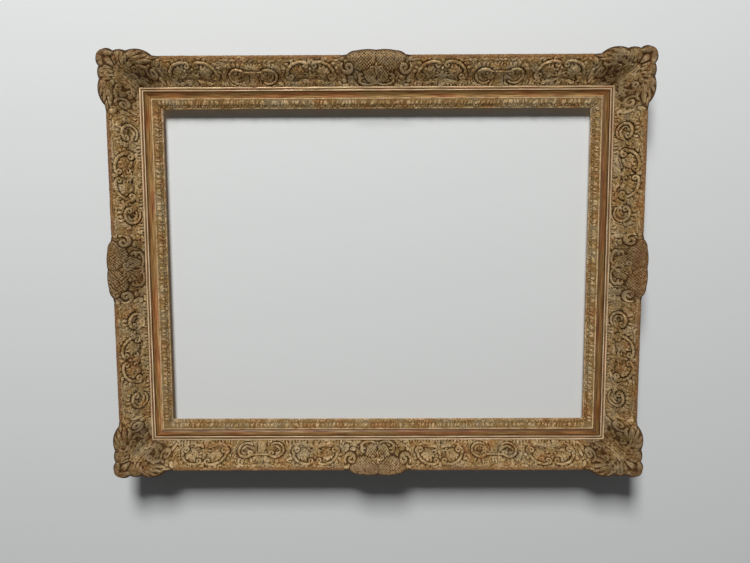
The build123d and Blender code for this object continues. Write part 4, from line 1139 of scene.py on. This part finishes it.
# Dull steel: satin grey, with small spots of rust.
RUST_SPOT = 1.5385
aged_steel, tree = new_finish("aged_steel")
in_place = add(tree, "ShaderNodeTexCoord").outputs["Object"]
rust = add(tree, "ShaderNodeTexNoise", inputs={
    "Vector": in_place, "Scale": per_metre(RUST_SPOT), "Detail": 4.0})
rusty = add(tree, "ShaderNodeMapRange", inputs={"Value": rust, "From Min": 0.55, "From Max": 0.68})
steel_colour = add(tree, "ShaderNodeValToRGB", None, {"Fac": rusty}, [(0.0, "#8d8b86"), (1.0, "#6a4a30")])
dulled = add(tree, "ShaderNodeMapRange", inputs={"Value": rusty, "To Min": 0.38, "To Max": 0.8})
bare_metal = add(tree, "ShaderNodeMapRange", inputs={"Value": rusty, "To Min": 1.0, "To Max": 0.0})
add(tree, "Principled BSDF", inputs={"Base Color": steel_colour, "Roughness": dulled, "Metallic": bare_metal})


def coat(material, *nodes):
    """Gives CAD nodes that keep their own shape a finish."""
    for node in nodes:
        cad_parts[node].data.materials.clear()
        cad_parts[node].data.materials.append(material)


def closed_patch(x, z, low, high):
    """Points and faces of a block on a grid of places x, z, from height low to heights high along +Y."""
    top = np.arange(x.size).reshape(x.shape)
    verts = np.concatenate([np.stack([x, y, z], -1).reshape(-1, 3) for y in (high, np.full(x.shape, low))])
    quads = grid_quads(top).reshape(-1, 4)
    edge = np.concatenate([top[0, :-1], top[:-1, -1], top[-1, :0:-1], top[:0:-1, 0]])
    wall = np.stack([edge, np.roll(edge, -1), np.roll(edge, -1) + x.size, edge + x.size], -1)
    return verts, np.concatenate([quads, quads[:, ::-1] + x.size, wall])


def screw_head():
    """A slotted round head on the plane y = 0: the slot's floor and the two halves of the crown beside it."""
    z = HEAD_RADIUS * 0.985 * np.sin(np.linspace(-1.5, 1.5, 13))[:, None]
    reach = np.sqrt(HEAD_RADIUS ** 2 - z ** 2)
    half = SLOT_WIDTH / 2 + (reach - SLOT_WIDTH / 2) * np.linspace(0, 1, 6)
    verts, faces = [], []
    for x, flat in ((np.linspace(-1, 1, 5) * reach * 0.98, True), (half, False), (-half, False)):
        rows = np.broadcast_to(z, x.shape)
        crown = HEAD_HEIGHT * np.sqrt(1 - 0.92 * np.clip(np.hypot(x, rows) / HEAD_RADIUS, 0, 1) ** 2)
        top = np.minimum(crown * 0.9, SLOT_FLOOR) if flat else crown
        points, patch = closed_patch(x, rows, HEAD_FOOT, top)
        faces += (patch + len(verts)).tolist()
        verts += (points * MM).tolist()
    mesh = bpy.data.meshes.new("screw_head")
    mesh.from_pydata(verts, [], faces)
    mesh.validate()
    mesh.shade_smooth()
    mesh.set_sharp_from_angle(angle=math.radians(HEAD_CREASE))
    return bpy.data.objects.new("screw_head", mesh)


screw_set = bpy.data.collections.new("screw_heads")
screw_set.objects.link(screw_head())
driven, given = new_tree("screws_driven_in", {
    "Places": "Geometry", "Heads": "Collection", "Seed": "Int", "Finish": "Material"})
heads = add(driven, "GeometryNodeCollectionInfo", inputs={
    "Collection": given["Heads"], "Separate Children": True})
turned = add(driven, "FunctionNodeRandomValue", {"data_type": "FLOAT_VECTOR"},
             {"Min": (0, 0, 0), "Max": (0, 3.1, 0), "Seed": given["Seed"]})
set_in = add(driven, "GeometryNodeInstanceOnPoints", inputs={
    "Points": given["Places"], "Instance": heads, "Rotation": turned})
real = add(driven, "GeometryNodeRealizeInstances", inputs={"Geometry": set_in})
painted = add(driven, "GeometryNodeSetMaterial", inputs={"Geometry": real, "Material": given["Finish"]})
add(driven, "NodeGroupOutput", inputs={"Geometry": painted})


def drive_screws(name, places, node, seed):
    """Screw heads on these places, in millimetres, in place of a CAD node."""
    screws = grown(driven, name, np.array(places) * MM, heads=screw_set, seed=seed, finish=aged_steel)
    fix_to_frame(screws, "steel", node)


coat(aged_steel, *(f"{side}_hanger_{part}" for side in ("left", "right") for part in ("strap", "ring")))
drive_screws("hanger_screw_heads",
             [(x, -STRAP_FACE, z) for x in (-HANGER_X, HANGER_X) for z in HANGER_SCREWS], "hanger_screws", 71)

# Turn buttons
# Six small cast brass buttons, each held by one screw through its middle and turned by hand over the
# picture's stretcher. Gone dull and brown.
BUTTON_ALONG, BUTTON_OUT, BUTTON_FACE = 0.28 * SIGHT_WIDTH, 20.0, 2.7

# Dull brass: soft yellow shine under patches of brown tarnish.
TARNISH = 4.545
dull_brass, tree = new_finish("dull_brass")
in_place = add(tree, "ShaderNodeTexCoord").outputs["Object"]
tarnish = add(tree, "ShaderNodeTexNoise", inputs={
    "Vector": in_place, "Scale": per_metre(TARNISH), "Detail": 4.0})
brass_colour = add(tree, "ShaderNodeValToRGB", None, {"Fac": tarnish}, [(0.35, "#6f5426"), (0.65, "#b08c4a")])
add(tree, "Principled BSDF", inputs={"Base Color": brass_colour, "Metallic": 1.0, "Roughness": 0.42})
coat(dull_brass, *(f"{name}_turn_button" for name in (*CORNERS, "left", "right")))
level_out, upright_out = SIGHT_HEIGHT / 2 + BUTTON_OUT, SIGHT_WIDTH / 2 + BUTTON_OUT
button_places = [(x, -BUTTON_FACE, z) for x in (-BUTTON_ALONG, BUTTON_ALONG) for z in (-level_out, level_out)]
button_places += [(x, -BUTTON_FACE, 0) for x in (-upright_out, upright_out)]
drive_screws("button_screw_heads", button_places, "turn_button_screws", 72)

# Wall, light and camera
# A plain pale wall behind the frame, seen only from its front so that the back can be looked at too. One lamp
# lights the wall alone and the others leave it out.
# Places and sizes here are in metres.
WALL_HALF, WALL_GAP = 10.0, 0.001
CAMERA_PLACE, CAMERA_TURN = (0.001, -0.9697, 0.0562), (85.18, 0.2093, 0.2524)
PHOTO_WIDTH, PHOTO_HEIGHT, SENSOR_WIDTH = 750, 563, 36.0
WORLD_LIGHT, WORLD_SEEN = 0.07, 0.8

# Wall paint: flat and pale in front, clear from behind.
wall_paint, tree = new_finish("pale_wall_paint")
paint = add(tree, "Principled BSDF", inputs={"Base Color": "#d4d6d5", "Roughness": 0.9})
facing = add(tree, "ShaderNodeNewGeometry").outputs["Backfacing"]
clear = add(tree, "ShaderNodeBsdfTransparent")
one_sided = add(tree, "ShaderNodeMixShader", inputs={"Fac": facing, 1: paint, 2: clear})
add(tree, "Material Output", inputs={"Surface": one_sided})
wall_mesh = bpy.data.meshes.new("wall")
wall_corners = [(x * WALL_HALF, WALL_GAP, z * WALL_HALF) for x, z in ((-1, -1), (1, -1), (1, 1), (-1, 1))]
wall_mesh.from_pydata(wall_corners, [], [(0, 1, 2, 3)])
wall_mesh.materials.append(wall_paint)
wall = bpy.data.objects.new("wall", wall_mesh)
bpy.context.scene.collection.objects.link(wall)
wall.visible_shadow = False
wall.visible_diffuse = False
wall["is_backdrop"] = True


def lamp(name, place, power, width, height):
    """A soft lamp that points at the middle of the frame."""
    data = bpy.data.lights.new(name, "AREA")
    data.shape, data.size, data.size_y, data.energy = "RECTANGLE", width, height, power
    obj = bpy.data.objects.new(name, data)
    obj.location = place
    x, y, z = place
    obj.rotation_euler = (math.pi / 2 - math.atan2(z, math.hypot(x, y)), 0, math.atan2(-y, -x) - math.pi / 2)
    bpy.context.scene.collection.objects.link(obj)
    return obj


wall_light = lamp("wall_wash", (-0.5, -2.8, 3.0), 214, 1.1, 1.25)
frame_lights = [lamp("key_above", (-0.6, -2.8, 2.2), 118, 0.7, 0.7),
                lamp("fill_front", (0.6, -2.6, -0.9), 33, 1.2, 1.2),
                lamp("fill_left", (-2.6, -0.25, 0.3), 5, 0.8, 1.2),
                lamp("fill_right", (2.6, -0.25, 0.3), 5, 0.8, 1.2)]
lamp("back_soft", (0.0, 2.6, 1.2), 70, 1.6, 1.6)
all_but_wall, wall_alone = (bpy.data.collections.new(name) for name in ("all_but_wall", "wall_alone"))
for group in (all_but_wall, wall_alone):
    group.objects.link(wall)
all_but_wall.collection_objects[0].light_linking.link_state = "EXCLUDE"
wall_light.light_linking.receiver_collection = wall_alone
for light in frame_lights:
    light.light_linking.receiver_collection = all_but_wall

world = bpy.data.worlds.new("studio")
bpy.context.scene.world = world
world.use_nodes = True
tree = world.node_tree
seen = add(tree, "ShaderNodeLightPath").outputs
seen_or_through = add(tree, "ShaderNodeMath", {"operation": "MAXIMUM"},
                      {0: seen["Is Camera Ray"], 1: seen["Is Transmission Ray"]})
seen_at_all = add(tree, "ShaderNodeMath", {"operation": "MAXIMUM"},
                  {0: seen_or_through, 1: seen["Is Glossy Ray"]})
strength = add(tree, "ShaderNodeMapRange", inputs={
    "Value": seen_at_all, "To Min": WORLD_LIGHT, "To Max": WORLD_SEEN})
add(tree, "Background", inputs={"Color": "#f4f5f5", "Strength": strength})

camera = bpy.data.objects.new("camera", bpy.data.cameras.new("camera"))
bpy.context.scene.collection.objects.link(camera)
camera.data.sensor_width = SENSOR_WIDTH
camera.data.lens = PHOTO_HEIGHT / PHOTO_WIDTH * SENSOR_WIDTH
camera.location = CAMERA_PLACE
camera.rotation_euler = [math.radians(v) for v in CAMERA_TURN]
bpy.context.scene.camera = camera
bpy.context.scene.view_settings.view_transform = "Standard"

low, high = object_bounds()
